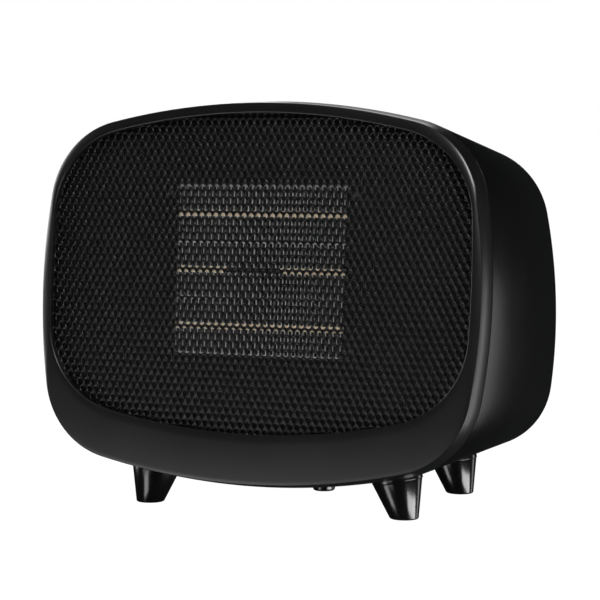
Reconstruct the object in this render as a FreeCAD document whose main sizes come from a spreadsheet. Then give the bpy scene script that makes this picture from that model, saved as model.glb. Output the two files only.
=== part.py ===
import FreeCAD, Part
import math
import os

import Sketcher
from FreeCAD import Placement, Rotation, Vector

# A small mains fan heater shaped like an old television set: a bezel with a perforated grille,
# a tapered housing on four splayed feet, a PTC element with its fan behind it, a rear cover with
# two knobs, and a tip-over switch worked by a plunger under the body.
#
# The body frame has X to the viewer's right, Y into the body, square to the front face, and Z up
# the face. Its origin is the centre of the face. The rear frame sits on the rear rim, with Y
# pointing out of the back. The floor frame is upright and has its origin on the floor.

doc = FreeCAD.newDocument("space_heater")

# ---------------------------------------------------------------- driving dimensions, millimetres
DIMENSIONS = [
    # front face
    ("half_width", 125.0, "half the width of the front outline"),
    ("half_height", 100.0, "half the height of the front outline"),
    ("top_radius", 373.0, "crown of the top and bottom edges"),
    ("side_radius", 331.0, "crown of the two sides"),
    ("corner_radius", 46.0, "corners of the front outline"),
    ("face_lean", 5.03, "the face leans back by this many degrees"),
    ("ground_gap", 19.0, "lowest point of the face's outline above the floor"),
    # bezel
    ("opening_half_width", 119.6, "opening in the bezel"),
    ("opening_half_height", 84.3, "opening in the bezel"),
    ("opening_rise", 10.4, "centre of the opening above the centre of the face"),
    ("opening_top_radius", 364.0, "crown of the opening's top and bottom"),
    ("opening_side_radius", 722.0, "crown of the opening's sides"),
    ("opening_corner_radius", 47.0, "corners of the opening"),
    ("lip_proud", 1.2, "the lip of the opening stands this far in front of the outline"),
    ("lip_land", 0.1, "flat land round the opening, on top of the lip"),
    ("bezel_depth", 12.5, "front outline to the seam"),
    ("bezel_flare", 2.0, "the outline grows by this much from the front to the seam"),
    ("bezel_wall", 2.2, "side wall of the bezel"),
    ("flange_back", 2.5, "back of the bezel's front flange"),
    ("seam_gap", 0.4, "shadow gap between bezel and housing"),
    # grille
    ("grille_thickness", 1.0, "perforated sheet"),
    ("hole_pitch", 4.07, "hole to hole along a row"),
    ("row_pitch", 3.79, "row to row"),
    ("hole_radius", 1.5, "one hole of the grille"),
    # housing
    ("rear_half_width", 119.5, "half the width of the rear rim"),
    ("rear_half_height", 95.6, "half the height of the rear rim"),
    ("rear_top_radius", 357.0, "crown of the rear rim's top and bottom"),
    ("rear_side_radius", 316.0, "crown of the rear rim's sides"),
    ("rear_corner_radius", 44.0, "corners of the rear rim"),
    ("rear_depth", 156.8, "front outline to the centre of the rear rim"),
    ("rear_rise", 2.6, "centre of the rear rim above the centre of the face"),
    ("rear_lean", 11.0, "the rear rim leans towards the face by this many degrees"),
    ("shell_wall", 3.0, "wall of the housing"),
    ("fit_gap", 0.3, "clearance between two pieces that slip together"),
    ("spigot_front", 9.0, "front of the ring that carries the bezel"),
    ("spigot_back", 16.0, "back of that ring"),
    ("spigot_wall", 2.0, "wall of that ring"),
    # rear cover
    ("cover_recess", 3.0, "cover behind the rear rim"),
    ("cover_thickness", 2.5, "sheet of the cover"),
    ("slot_length", 46.0, "one intake slot"),
    ("slot_height", 3.0, "one intake slot"),
    ("slot_pitch", 6.5, "slot to slot"),
    ("slot_rows", 15.0, "slots in a column"),
    ("slot_middle", 4.0, "half the bar between the two columns"),
    ("slot_rise", 8.0, "centre of the slots above the centre of the cover"),
    ("boss_inset_x", 21.8, "cover screw from the side of the rear rim"),
    ("boss_inset_z", 26.1, "cover screw from the top or bottom of the rear rim"),
    ("boss_radius", 5.0, "screw boss"),
    ("boss_length", 14.0, "screw boss"),
    ("cover_screw_depth", 10.0, "cover screw in its boss"),
    ("cover_bore_depth", 12.0, "bore of a boss"),
    # heating element
    ("window_half_width", 48.7, "window in the element frame"),
    ("window_rise", 12.2, "centre of the window above the centre of the face"),
    ("frame_front", 7.0, "front of the element frame's plate"),
    ("frame_thickness", 2.0, "plate of the element frame"),
    ("frame_rim", 2.5, "width of the frame's rim, which holds the grille forward"),
    ("element_depth", 20.0, "fins, strips and plates front to back"),
    ("module_pitch", 30.0, "one strip with the fins above and below it"),
    ("strip_thickness", 3.0, "one ceramic strip"),
    ("plate_thickness", 1.2, "one aluminium plate"),
    ("fin_pitch", 2.1, "fin to fin"),
    ("fin_sheet", 0.3, "fin stock"),
    ("holder_width", 9.0, "end holder of the element"),
    ("tab_length", 8.0, "terminal tab"),
    ("tab_width", 6.3, "terminal tab"),
    # fan
    ("shroud_gap", 0.8, "element holders to the inside of the shroud"),
    ("shroud_wall", 2.0, "wall of the shroud"),
    ("plenum_depth", 32.0, "square part of the shroud"),
    ("duct_depth", 23.0, "round part of the shroud"),
    ("duct_radius", 43.0, "bore of the round part"),
    ("flange_radius", 56.0, "flange that carries the motor bracket"),
    ("blade_gap", 1.5, "blade tip to the duct"),
    ("blade_count", 7.0, "blades of the impeller"),
    ("hub_radius", 15.0, "hub of the impeller"),
    ("hub_length", 18.0, "hub of the impeller"),
    ("shaft_radius", 2.0, "fan shaft"),
    ("shaft_running_gap", 0.05, "fan shaft in its bushes"),
    ("motor_radius", 24.0, "motor body"),
    ("motor_length", 30.0, "motor body"),
    ("bracket_thickness", 3.0, "motor bracket"),
    ("arm_width", 9.0, "one arm of the motor bracket"),
    ("arm_screw_radius", 51.0, "bracket screws from the fan axis"),
    # knobs and switches on the rear cover
    ("knob_radius", 15.0, "either knob"),
    ("knob_length", 14.0, "either knob"),
    ("knob_standoff", 0.6, "knob to cover"),
    ("knob_side", 86.0, "knob axes to the side of the cover's centre"),
    ("mode_knob_rise", 32.0, "mode knob above the cover's centre"),
    ("heat_knob_rise", -14.0, "thermostat knob above the cover's centre"),
    ("spindle_radius", 3.0, "spindle of either switch"),
    ("spindle_running_gap", 0.08, "spindle in its bush"),
    ("bush_radius", 5.0, "threaded bush of either switch"),
    ("lens_radius", 3.5, "pilot lamp"),
    ("lens_rise", 58.0, "pilot lamp above the cover's centre"),
    ("gland_side", -84.0, "cord gland to the side of the cover's centre"),
    ("gland_rise", -56.0, "cord gland above the cover's centre"),
    ("gland_radius", 6.0, "neck of the cord gland"),
    ("cord_bore_radius", 3.5, "bore of the cord gland"),
    # feet
    ("foot_side", 74.8, "middle of a foot on the floor to the centre line"),
    ("front_foot_back", 28.0, "front feet behind the centre of the face"),
    ("rear_foot_back", 120.6, "rear feet behind the centre of the face"),
    ("foot_splay", 12.0, "the feet lean outwards by this many degrees"),
    ("foot_base_radius", 7.4, "foot at the floor"),
    ("foot_taper", 0.29, "growth of the foot's radius for each millimetre up"),
    ("collar_step", 0.2, "the collar stands this far outside the foot"),
    ("collar_height", 2.6, "collar between foot and housing"),
    ("foot_screw_radius", 2.0, "screw that holds a foot"),
    ("foot_screw_start", 8.0, "bottom of a foot screw above the floor"),
    # tip-over switch
    ("plunger_back", 100.0, "plunger behind the centre of the face"),
    ("plunger_radius", 6.3, "plunger under the body"),
    ("plunger_rest_gap", 0.9, "collar to the housing's floor when the plunger has dropped"),
    ("plunger_collar_radius", 8.5, "collar that stops the plunger falling out"),
    ("plunger_collar_height", 2.0, "collar"),
    ("plunger_travel", 4.0, "drop of the plunger when the heater is lifted"),
    ("plunger_gap", 0.4, "plunger in its hole"),
    ("stem_radius", 2.5, "stem of the plunger"),
    ("stem_rise", 4.0, "stem above the guide's cap"),
    ("guide_radius", 11.5, "guide tube around the plunger"),
    ("guide_wall", 2.0, "guide tube"),
    ("guide_cap", 3.0, "cap of the guide, which bears on the spring"),
    ("spring_room", 14.0, "plunger's collar to the guide's cap when standing"),
    ("spring_wire", 0.5, "radius of the plunger spring's wire"),
    ("spring_radius", 5.0, "plunger spring to the middle of its wire"),
    ("spring_turns", 5.0, "turns of the plunger spring"),
    ("lever_reach", 15.0, "lever pin to the plunger's axis"),
    ("lever_thickness", 1.0, "lever"),
    ("lever_width", 4.0, "lever"),
    ("lever_pin_radius", 1.0, "pin of the lever"),
    ("pin_running_gap", 0.06, "lever on its pin"),
]

sheet = doc.addObject("Spreadsheet::Sheet", "Dims")
for row, (alias, number, meaning) in enumerate(DIMENSIONS, start=1):
    sheet.set("A%d" % row, alias)
    sheet.set("B%d" % row, str(number))
    sheet.set("C%d" % row, meaning)
    sheet.setAlias("B%d" % row, alias)
doc.recompute()


class Size:
    """A length that keeps both its number and the sheet expression that gives it."""

    def __init__(self, number, text=None):
        self.number = float(number)
        self.text = "%.10g" % number if text is None else text

    def __float__(self):
        return self.number

    def combine(self, other, sign, flip=False):
        other = other if isinstance(other, Size) else Size(other)
        left, right = (other, self) if flip else (self, other)
        answers = {
            "+": left.number + right.number,
            "-": left.number - right.number,
            "*": left.number * right.number,
            "/": left.number / right.number if right.number else 0.0,
        }
        return Size(answers[sign], "(%s %s %s)" % (left.text, sign, right.text))

    def __add__(self, other):
        return self.combine(other, "+")

    def __radd__(self, other):
        return self.combine(other, "+", True)

    def __sub__(self, other):
        return self.combine(other, "-")

    def __rsub__(self, other):
        return self.combine(other, "-", True)

    def __mul__(self, other):
        return self.combine(other, "*")

    def __rmul__(self, other):
        return self.combine(other, "*", True)

    def __truediv__(self, other):
        return self.combine(other, "/")

    def __neg__(self):
        return Size(-self.number, "(-1 * %s)" % self.text)


class Sheet:
    """The sheet's cells, read by name."""

    def __getattr__(self, alias):
        return Size(sheet.get(alias), "Dims.%s" % alias)


dim = Sheet()


def sine(angle):
    return Size(math.sin(math.radians(angle.number)), "sin(%s * 1deg)" % angle.text)


def cosine(angle):
    return Size(math.cos(math.radians(angle.number)), "cos(%s * 1deg)" % angle.text)


def bind(obj, prop, size):
    """Tie a property of an object to the sheet."""
    size = size if isinstance(size, Size) else Size(size)
    obj.setExpression(prop, size.text)


# ---------------------------------------------------------------- frames
X_AXIS = Vector(1, 0, 0)
Y_AXIS = Vector(0, 1, 0)
Z_AXIS = Vector(0, 0, 1)
FLOOR = Placement()
face_height = dim.half_height * cosine(dim.face_lean) + dim.ground_gap
BODY = Placement(Vector(0, 0, float(face_height)), Rotation(X_AXIS, -float(dim.face_lean)))
REAR_IN_BODY = Placement(
    Vector(0, float(dim.rear_depth), float(dim.rear_rise)),
    Rotation(X_AXIS, float(dim.rear_lean)),
)
REAR = BODY.multiply(REAR_IN_BODY)
FLOOR_IN_BODY = BODY.inverse()

# ---------------------------------------------------------------- small makers
POINTING = {
    "Z": Rotation(),
    "Y": Rotation(X_AXIS, -90),
    "X": Rotation(Y_AXIS, 90),
}
nodes = []


def node(obj, label, frame):
    """Name a finished sub-part and put it in its frame."""
    obj.Label = label
    obj.Placement = frame
    nodes.append(obj)
    return obj


def place(obj, at, along="Z"):
    obj.Placement = Placement(Vector(*[float(value) for value in at]), POINTING[along])
    for letter, value in zip("xyz", at):
        bind(obj, "Placement.Base.%s" % letter, value)


def box(name, low, high):
    """A box between two corners."""
    obj = doc.addObject("Part::Box", name)
    for prop, bottom, top in zip(("Length", "Width", "Height"), low, high):
        bind(obj, prop, top - bottom)
    place(obj, low)
    return obj


def rod(name, at, radius, length, along="Z"):
    """A cylinder that starts at a point and runs along an axis."""
    obj = doc.addObject("Part::Cylinder", name)
    bind(obj, "Radius", radius)
    bind(obj, "Height", length)
    place(obj, at, along)
    return obj


def cone(name, at, start_radius, end_radius, length, along="Z"):
    obj = doc.addObject("Part::Cone", name)
    bind(obj, "Radius1", start_radius)
    bind(obj, "Radius2", end_radius)
    bind(obj, "Height", length)
    place(obj, at, along)
    return obj


def together(name, pieces):
    """Separate solids kept in one object."""
    obj = doc.addObject("Part::Compound", name)
    obj.Links = pieces
    return obj


def fuse(name, pieces):
    obj = doc.addObject("Part::MultiFuse", name)
    obj.Shapes = pieces
    obj.Refine = True
    return obj


def cut(name, base, tools):
    obj = doc.addObject("Part::Cut", name)
    obj.Base = base
    obj.Tool = tools[0] if len(tools) == 1 else together(name + "_tools", tools)
    return obj


def common(name, first, second):
    obj = doc.addObject("Part::Common", name)
    obj.Base = first
    obj.Tool = second
    return obj


def plain(name, shape):
    """An object whose shape is worked out here from the sheet's values."""
    obj = doc.addObject("Part::Feature", name)
    obj.Shape = shape
    return obj


# ---------------------------------------------------------------- the television outline
class Outline:
    """Four crowned edges and four round corners, each arc tangent to the next."""

    def __init__(self, half_width, half_height, top_radius, side_radius, corner_radius):
        self.half_width = half_width
        self.half_height = half_height
        self.top_radius = top_radius
        self.side_radius = side_radius
        self.corner_radius = corner_radius

    def inset(self, amount):
        return Outline(
            self.half_width - amount,
            self.half_height - amount,
            self.top_radius - amount,
            self.side_radius - amount,
            self.corner_radius - amount,
        )

    def arcs(self):
        """Centre, radius, start and end angle of the eight arcs, anticlockwise from the right."""
        side, top, corner = [
            float(value) for value in (self.side_radius, self.top_radius, self.corner_radius)
        ]
        side_x = float(self.half_width) - side
        top_z = float(self.half_height) - top
        span = math.hypot(side_x, top_z)
        reach = ((side - corner) ** 2 - (top - corner) ** 2 + span**2) / (2 * span)
        off = math.sqrt((side - corner) ** 2 - reach**2)
        corner_x = side_x + (-side_x * reach - top_z * off) / span
        corner_z = (top_z * reach - side_x * off) / span
        low = math.atan2(corner_z, corner_x - side_x)
        high = math.atan2(corner_z - top_z, corner_x)
        half_turn = math.pi
        return [
            ((side_x, 0), side, -low, low),
            ((corner_x, corner_z), corner, low, high),
            ((0, top_z), top, high, half_turn - high),
            ((-corner_x, corner_z), corner, half_turn - high, half_turn - low),
            ((-side_x, 0), side, half_turn - low, half_turn + low),
            ((-corner_x, -corner_z), corner, half_turn + low, half_turn + high),
            ((0, -top_z), top, half_turn + high, 2 * half_turn - high),
            ((corner_x, -corner_z), corner, -high, -low),
        ]


front_outline = Outline(
    dim.half_width, dim.half_height, dim.top_radius, dim.side_radius, dim.corner_radius
)
opening_outline = Outline(
    dim.opening_half_width,
    dim.opening_half_height,
    dim.opening_top_radius,
    dim.opening_side_radius,
    dim.opening_corner_radius,
)
rear_outline = Outline(
    dim.rear_half_width,
    dim.rear_half_height,
    dim.rear_top_radius,
    dim.rear_side_radius,
    dim.rear_corner_radius,
)
seam_outline = front_outline.inset(-dim.bezel_flare)


def bezel_inside(depth):
    """The inside of the bezel's wall at a depth behind the front outline."""
    return front_outline.inset(dim.bezel_wall - dim.bezel_flare * depth / dim.bezel_depth)


VERTICAL_AXIS = -2
HORIZONTAL_AXIS = -1
START, END, CENTRE = 1, 2, 3


def draw_outline(sketch, outline, prefix=""):
    """Draw the outline around the sketch's origin and constrain it fully."""
    first = sketch.GeometryCount
    for centre, radius, start, end in outline.arcs():
        circle = Part.Circle(Vector(centre[0], centre[1], 0), Z_AXIS, radius)
        sketch.addGeometry(Part.ArcOfCircle(circle, start, end), False)
    right, top, left, bottom = first, first + 2, first + 4, first + 6
    for i in range(8):
        sketch.addConstraint(
            Sketcher.Constraint("Tangent", first + i, END, first + (i + 1) % 8, START)
        )
    for arc in (top, bottom):
        sketch.addConstraint(Sketcher.Constraint("PointOnObject", arc, CENTRE, VERTICAL_AXIS))
    for arc in (left, right):
        sketch.addConstraint(Sketcher.Constraint("PointOnObject", arc, CENTRE, HORIZONTAL_AXIS))
    sketch.addConstraint(Sketcher.Constraint("Equal", top, bottom))
    sketch.addConstraint(Sketcher.Constraint("Equal", left, right))
    for corner in (3, 5, 7):
        sketch.addConstraint(Sketcher.Constraint("Equal", first + 1, first + corner))
    below = outline.top_radius - outline.half_height
    beside = outline.side_radius - outline.half_width
    for name, rule, size in (
        ("top_radius", ("Radius", top), outline.top_radius),
        ("side_radius", ("Radius", right), outline.side_radius),
        ("corner_radius", ("Radius", first + 1), outline.corner_radius),
        ("top_centre", ("DistanceY", top, CENTRE, -1, START), below),
        ("bottom_centre", ("DistanceY", -1, START, bottom, CENTRE), below),
        ("right_centre", ("DistanceX", right, CENTRE, -1, START), beside),
        ("left_centre", ("DistanceX", -1, START, left, CENTRE), beside),
    ):
        index = sketch.addConstraint(Sketcher.Constraint(*rule, float(size)))
        sketch.renameConstraint(index, prefix + name)
        bind(sketch, "Constraints.%s%s" % (prefix, name), size)


def new_body(name):
    body = doc.addObject("PartDesign::Body", name)
    doc.recompute()
    return body


def plane_of(body, role):
    return [item for item in body.Origin.OriginFeatures if item.Role == role][0]


def face_sketch(body, name, depth, rise=Size(0), lean=None):
    """A sketch across the body frame's Y, at a depth, lifted and leaning towards the front."""
    sketch = body.newObject("Sketcher::SketchObject", name)
    sketch.AttachmentSupport = [(plane_of(body, "XZ_Plane"), "")]
    sketch.MapMode = "FlatFace"
    angle = float(lean) if lean else 0.0
    sketch.AttachmentOffset = Placement(
        Vector(0, float(rise), -float(depth)), Rotation(X_AXIS, angle)
    )
    bind(sketch, "AttachmentOffset.Base.z", -depth)
    bind(sketch, "AttachmentOffset.Base.y", rise)
    if lean:
        bind(sketch, "AttachmentOffset.Rotation.Angle", lean)
    return sketch


def outline_sketch(body, name, outline, depth, rise=Size(0), lean=None):
    sketch = face_sketch(body, name, depth, rise, lean)
    draw_outline(sketch, outline)
    return sketch


def loft(body, name, kind, first, second):
    feature = body.newObject("PartDesign::%sLoft" % kind, name)
    feature.Profile = first
    feature.Sections = [second]
    feature.Ruled = True
    return feature


def draw_circle(sketch, x, z, radius, name):
    """A circle bound to the sheet. Its centre may lie on either side of the sketch's axes."""
    index = sketch.addGeometry(
        Part.Circle(Vector(float(x), float(z), 0), Z_AXIS, float(radius)), False
    )
    for axis, value in (("DistanceX", x), ("DistanceY", z)):
        if float(value) >= 0:
            rule = Sketcher.Constraint(axis, -1, START, index, CENTRE, float(value))
        else:
            rule = Sketcher.Constraint(axis, index, CENTRE, -1, START, -float(value))
        constraint = sketch.addConstraint(rule)
        label = "%s_%s" % (name, axis[-1].lower())
        sketch.renameConstraint(constraint, label)
        bind(sketch, "Constraints.%s" % label, value if float(value) >= 0 else -value)
    constraint = sketch.addConstraint(Sketcher.Constraint("Radius", index, float(radius)))
    sketch.renameConstraint(constraint, name + "_radius")
    bind(sketch, "Constraints.%s_radius" % name, radius)


def pad(body, name, sketch, length, into_body=True):
    """A pad from a face sketch. Into the body is against the sketch's normal."""
    feature = body.newObject("PartDesign::Pad", name)
    feature.Profile = sketch
    bind(feature, "Length", length)
    feature.Reversed = into_body
    return feature


def pocket(body, name, sketch, length, into_body=True):
    feature = body.newObject("PartDesign::Pocket", name)
    feature.Profile = sketch
    bind(feature, "Length", length)
    feature.Reversed = not into_body
    return feature


# ---------------------------------------------------------------- bezel
def make_bezel():
    body = new_body("bezel_body")
    land_outline = opening_outline.inset(-dim.lip_land)
    loft(
        body,
        "bezel_band",
        "Additive",
        outline_sketch(body, "band_front", front_outline, Size(0)),
        outline_sketch(body, "band_back", seam_outline, dim.bezel_depth),
    )
    loft(
        body,
        "bezel_face",
        "Additive",
        outline_sketch(body, "lip", land_outline, -dim.lip_proud, dim.opening_rise),
        outline_sketch(body, "face_edge", front_outline, Size(0)),
    )
    loft(
        body,
        "bezel_hollow",
        "Subtractive",
        outline_sketch(body, "hollow_front", bezel_inside(dim.flange_back), dim.flange_back),
        outline_sketch(body, "hollow_back", bezel_inside(dim.bezel_depth), dim.bezel_depth),
    )
    opening = outline_sketch(
        body, "opening", opening_outline, -dim.lip_proud, dim.opening_rise
    )
    pocket(body, "bezel_opening", opening, dim.lip_proud + dim.flange_back + 1)
    return node(body, "front_bezel", BODY)


# ---------------------------------------------------------------- depths and heights inside
stack_half_height = (dim.module_pitch * 3 + dim.plate_thickness) / 2
frame_back = dim.frame_front + dim.frame_thickness
element_back = frame_back + dim.element_depth
duct_front = frame_back + dim.plenum_depth
duct_back = duct_front + dim.duct_depth
bracket_back = duct_back + dim.bracket_thickness
motor_back = bracket_back + dim.motor_length
cover_inside = -(dim.cover_recess + dim.cover_thickness)
cover_outside = -dim.cover_recess
# The housing's centre line climbs across the leaning rear frame, and the cover follows it.
housing_climb = sine(dim.rear_lean) / cosine(dim.rear_lean) - dim.rear_rise / dim.rear_depth
cover_rise = (dim.cover_recess + dim.cover_thickness / 2) * housing_climb


def underside(across, back):
    """Height above the floor of the housing's underside, across and behind the face's centre."""
    front = BODY.multVec(Vector(0, float(dim.bezel_depth), -float(seam_outline.half_height)))
    rear = REAR.multVec(Vector(0, 0, -float(dim.rear_half_height)))
    share = (float(back) - front.y) / (rear.y - front.y)
    crown = float(dim.top_radius) + share * float(dim.rear_top_radius - dim.top_radius)
    sagitta = crown - math.sqrt(crown**2 - float(across) ** 2)
    return Size(front.z + share * (rear.z - front.z) + sagitta)


# ---------------------------------------------------------------- grille
def make_grille():
    """A flat sheet with staggered holes over the heater's window."""
    front = float(dim.flange_back)
    sheet_outline = bezel_inside(dim.flange_back).inset(dim.fit_gap)
    edges = []
    for centre, radius, start, end in sheet_outline.arcs():
        middle = (start + end) / 2
        points = [
            Vector(centre[0] + radius * math.cos(turn), front, centre[1] + radius * math.sin(turn))
            for turn in (start, middle, end)
        ]
        edges.append(Part.Arc(*points).toShape())
    wires = [Part.Wire(edges)]
    rows = int(2 * float(stack_half_height) / float(dim.row_pitch))
    columns = int(2 * float(dim.window_half_width) / float(dim.hole_pitch))
    for row in range(rows):
        stagger = 0.25 if row % 2 else -0.25
        z = float(dim.window_rise) + (row - (rows - 1) / 2) * float(dim.row_pitch)
        for column in range(columns):
            x = (column - (columns - 1) / 2 + stagger) * float(dim.hole_pitch)
            circle = Part.makeCircle(float(dim.hole_radius), Vector(x, front, z), Y_AXIS)
            wires.append(Part.Wire([circle]))
    face = Part.makeFace(wires, "Part::FaceMakerBullseye")
    solid = face.extrude(Vector(0, float(dim.grille_thickness), 0))
    return node(plain("grille_sheet", solid.Solids[0]), "front_grille", BODY)


# ---------------------------------------------------------------- housing
def make_housing_solid(name, inset):
    """The tapered body from the seam to the rear rim, as one solid."""
    body = new_body(name)
    loft(
        body,
        name + "_loft",
        "Additive",
        outline_sketch(
            body, name + "_front", seam_outline.inset(inset), dim.bezel_depth + dim.seam_gap
        ),
        outline_sketch(
            body,
            name + "_back",
            rear_outline.inset(inset),
            dim.rear_depth,
            dim.rear_rise,
            dim.rear_lean,
        ),
    )
    return body


def boss_spots():
    """The four cover screws in the rear frame."""
    x = dim.rear_half_width - dim.boss_inset_x
    z = dim.rear_half_height - dim.boss_inset_z
    return [(x, z), (-x, z), (-x, -z), (x, -z)]


def foot_spots():
    """Name, side and distance behind the face of the four feet."""
    return [
        ("front_left", -1, dim.front_foot_back),
        ("front_right", 1, dim.front_foot_back),
        ("rear_left", -1, dim.rear_foot_back),
        ("rear_right", 1, dim.rear_foot_back),
    ]


def foot_axis(side, back):
    """A placement at the middle of a foot on the floor, with Z up the foot."""
    turn = Rotation(Y_AXIS, -side * float(dim.foot_splay))
    return Placement(Vector(side * float(dim.foot_side), float(back), 0), turn)


COVER_SCREW_RADIUS = Size(1.5)
THROUGH = Size(10)  # a cutting tool runs this far past what it cuts
FOOT_SUNK = Size(5)  # a foot's cone starts this far under the floor, which trims it flat
SCREW_HEAD_HEIGHT = Size(2.0)


def make_housing():
    body = make_housing_solid("housing_body", Size(0))
    loft(
        body,
        "housing_hollow",
        "Subtractive",
        outline_sketch(
            body,
            "hollow_front_end",
            seam_outline.inset(dim.shell_wall),
            dim.bezel_depth + dim.seam_gap,
        ),
        outline_sketch(
            body,
            "hollow_rear_end",
            rear_outline.inset(dim.shell_wall),
            dim.rear_depth,
            dim.rear_rise,
            dim.rear_lean,
        ),
    )
    ring = face_sketch(body, "spigot_ring", dim.spigot_front)
    spigot = bezel_inside(dim.spigot_front).inset(dim.fit_gap)
    draw_outline(ring, spigot, "outer_")
    draw_outline(ring, spigot.inset(dim.spigot_wall), "inner_")
    pad(body, "spigot", ring, dim.spigot_back - dim.spigot_front)
    seat = dim.cover_recess + dim.cover_thickness
    bosses = face_sketch(
        body,
        "boss_circles",
        dim.rear_depth - seat * cosine(dim.rear_lean),
        dim.rear_rise - seat * sine(dim.rear_lean),
        dim.rear_lean,
    )
    for number, (x, z) in enumerate(boss_spots()):
        draw_circle(bosses, x, z, dim.boss_radius, "boss_%d" % number)
    pad(body, "bosses", bosses, dim.boss_length, into_body=False)

    bores = [
        rod(
            "cover_bore_%d" % i,
            (x, -seat - dim.cover_bore_depth, z),
            COVER_SCREW_RADIUS,
            dim.cover_bore_depth,
            "Y",
        )
        for i, (x, z) in enumerate(boss_spots())
    ]
    rear_bores = together("cover_bores", bores)
    rear_bores.Placement = REAR_IN_BODY
    floor_bores = []
    for name, side, back in foot_spots():
        length = underside(dim.foot_side, back) + THROUGH
        bore = rod(name + "_bore", (Size(0),) * 3, dim.foot_screw_radius, length)
        holder = together(name + "_bore_place", [bore])
        holder.Placement = foot_axis(side, back)
        floor_bores.append(holder)
    plunger_bore = rod(
        "plunger_bore",
        (Size(0), dim.plunger_back, Size(0)),
        dim.plunger_radius + dim.plunger_gap,
        underside(0, dim.plunger_back) + THROUGH,
    )
    under_bores = together("under_bores", floor_bores + [plunger_bore])
    under_bores.Placement = FLOOR_IN_BODY
    return node(cut("housing_cut", body, [rear_bores, under_bores]), "housing_shell", BODY)


# ---------------------------------------------------------------- feet
def make_feet():
    """Splayed cones with a collar that follows the underside of the housing."""
    envelope = make_housing_solid("envelope", Size(0))
    envelope.Placement = BODY
    lowered = together("lowered_envelope", [envelope])
    bind(lowered, "Placement.Base.z", -dim.collar_height)
    side_end = dim.half_width + THROUGH
    below_floor = box(
        "below_floor", (-side_end, -THROUGH, -THROUGH), (side_end, dim.rear_depth, Size(0))
    )
    collars = []
    for name, side, back in foot_spots():
        height = underside(dim.foot_side, back)
        reach = height + THROUGH
        blank = cone(
            name + "_cone",
            (Size(0), Size(0), -FOOT_SUNK),
            dim.foot_base_radius - FOOT_SUNK * dim.foot_taper,
            dim.foot_base_radius + reach * dim.foot_taper,
            reach + FOOT_SUNK,
        )
        low = (Size(0), Size(0), dim.foot_screw_start)
        screw_bore = rod(name + "_screw_bore", low, dim.foot_screw_radius, reach)
        bored = cut(name + "_bored", blank, [screw_bore])
        bored.Placement = foot_axis(side, back)
        node(cut(name + "_trim", bored, [below_floor, lowered]), "foot_" + name, FLOOR)

        foot_top = height - dim.collar_height
        collar_radius = dim.foot_base_radius + foot_top * dim.foot_taper + dim.collar_step
        ring = rod(name + "_ring", low, collar_radius, reach)
        ring_bore = rod(name + "_ring_bore", low, dim.foot_screw_radius, reach)
        bored_ring = cut(name + "_bored_ring", ring, [ring_bore])
        bored_ring.Placement = foot_axis(side, back)
        band = common(name + "_band", bored_ring, lowered)
        collars.append(cut(name + "_collar_trim", band, [envelope]))
    node(together("collars", collars), "foot_collars", FLOOR)


def make_foot_screws(hollow):
    """Screws from inside the housing, with heads that sit on its floor."""
    screws = []
    for name, side, back in foot_spots():
        seat = underside(dim.foot_side, back) + dim.shell_wall
        low = dim.foot_screw_start
        centre = Size(0)
        shank = rod(name + "_shank", (centre, centre, low), dim.foot_screw_radius, seat + 1 - low)
        head_low = seat - 3  # the housing's sloping floor trims the head
        head_radius = dim.foot_screw_radius * 1.8
        head_length = Size(6)
        head = rod(name + "_head", (centre, centre, head_low), head_radius, head_length)
        placed = [together(name + "_placed_" + piece.Name, [piece]) for piece in (shank, head)]
        for piece in placed:
            piece.Placement = foot_axis(side, back)
        seated_head = common(name + "_seated_head", placed[1], hollow)
        screws.append(fuse(name + "_screw", [placed[0], seated_head]))
    node(together("foot_screw_group", screws), "foot_screws", FLOOR)


# ---------------------------------------------------------------- heating element
def make_element_frame():
    body = new_body("element_frame_body")
    outside = bezel_inside(dim.frame_front).inset(dim.fit_gap)
    plate = outline_sketch(body, "frame_plate", outside, dim.frame_front)
    pad(body, "frame_sheet", plate, dim.frame_thickness)
    grille_back = dim.flange_back + dim.grille_thickness
    rim = face_sketch(body, "frame_rim_ring", grille_back)
    rim_outside = bezel_inside(grille_back).inset(dim.fit_gap)
    draw_outline(rim, rim_outside, "outer_")
    draw_outline(rim, rim_outside.inset(dim.frame_rim), "inner_")
    pad(body, "frame_rim", rim, dim.frame_front - grille_back)
    window = box(
        "frame_window",
        (-dim.window_half_width, dim.frame_front - 1, dim.window_rise - stack_half_height),
        (dim.window_half_width, frame_back + 1, dim.window_rise + stack_half_height),
    )
    bores = [
        rod("frame_bore_%d" % i, (x, dim.frame_front - 1, z), ELEMENT_SCREW_RADIUS, Size(6), "Y")
        for i, (x, z) in enumerate(holder_screw_spots())
    ]
    node(cut("element_frame_cut", body, [window] + bores), "element_frame", BODY)


ELEMENT_SCREW_RADIUS = Size(1.5)
HOLDER_SCREW_INSET = Size(5)


def holder_screw_spots():
    x = dim.window_half_width + dim.holder_width / 2
    z = stack_half_height - HOLDER_SCREW_INSET
    middle = dim.window_rise
    return [(x, middle + z), (-x, middle + z), (-x, middle - z), (x, middle - z)]


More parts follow.
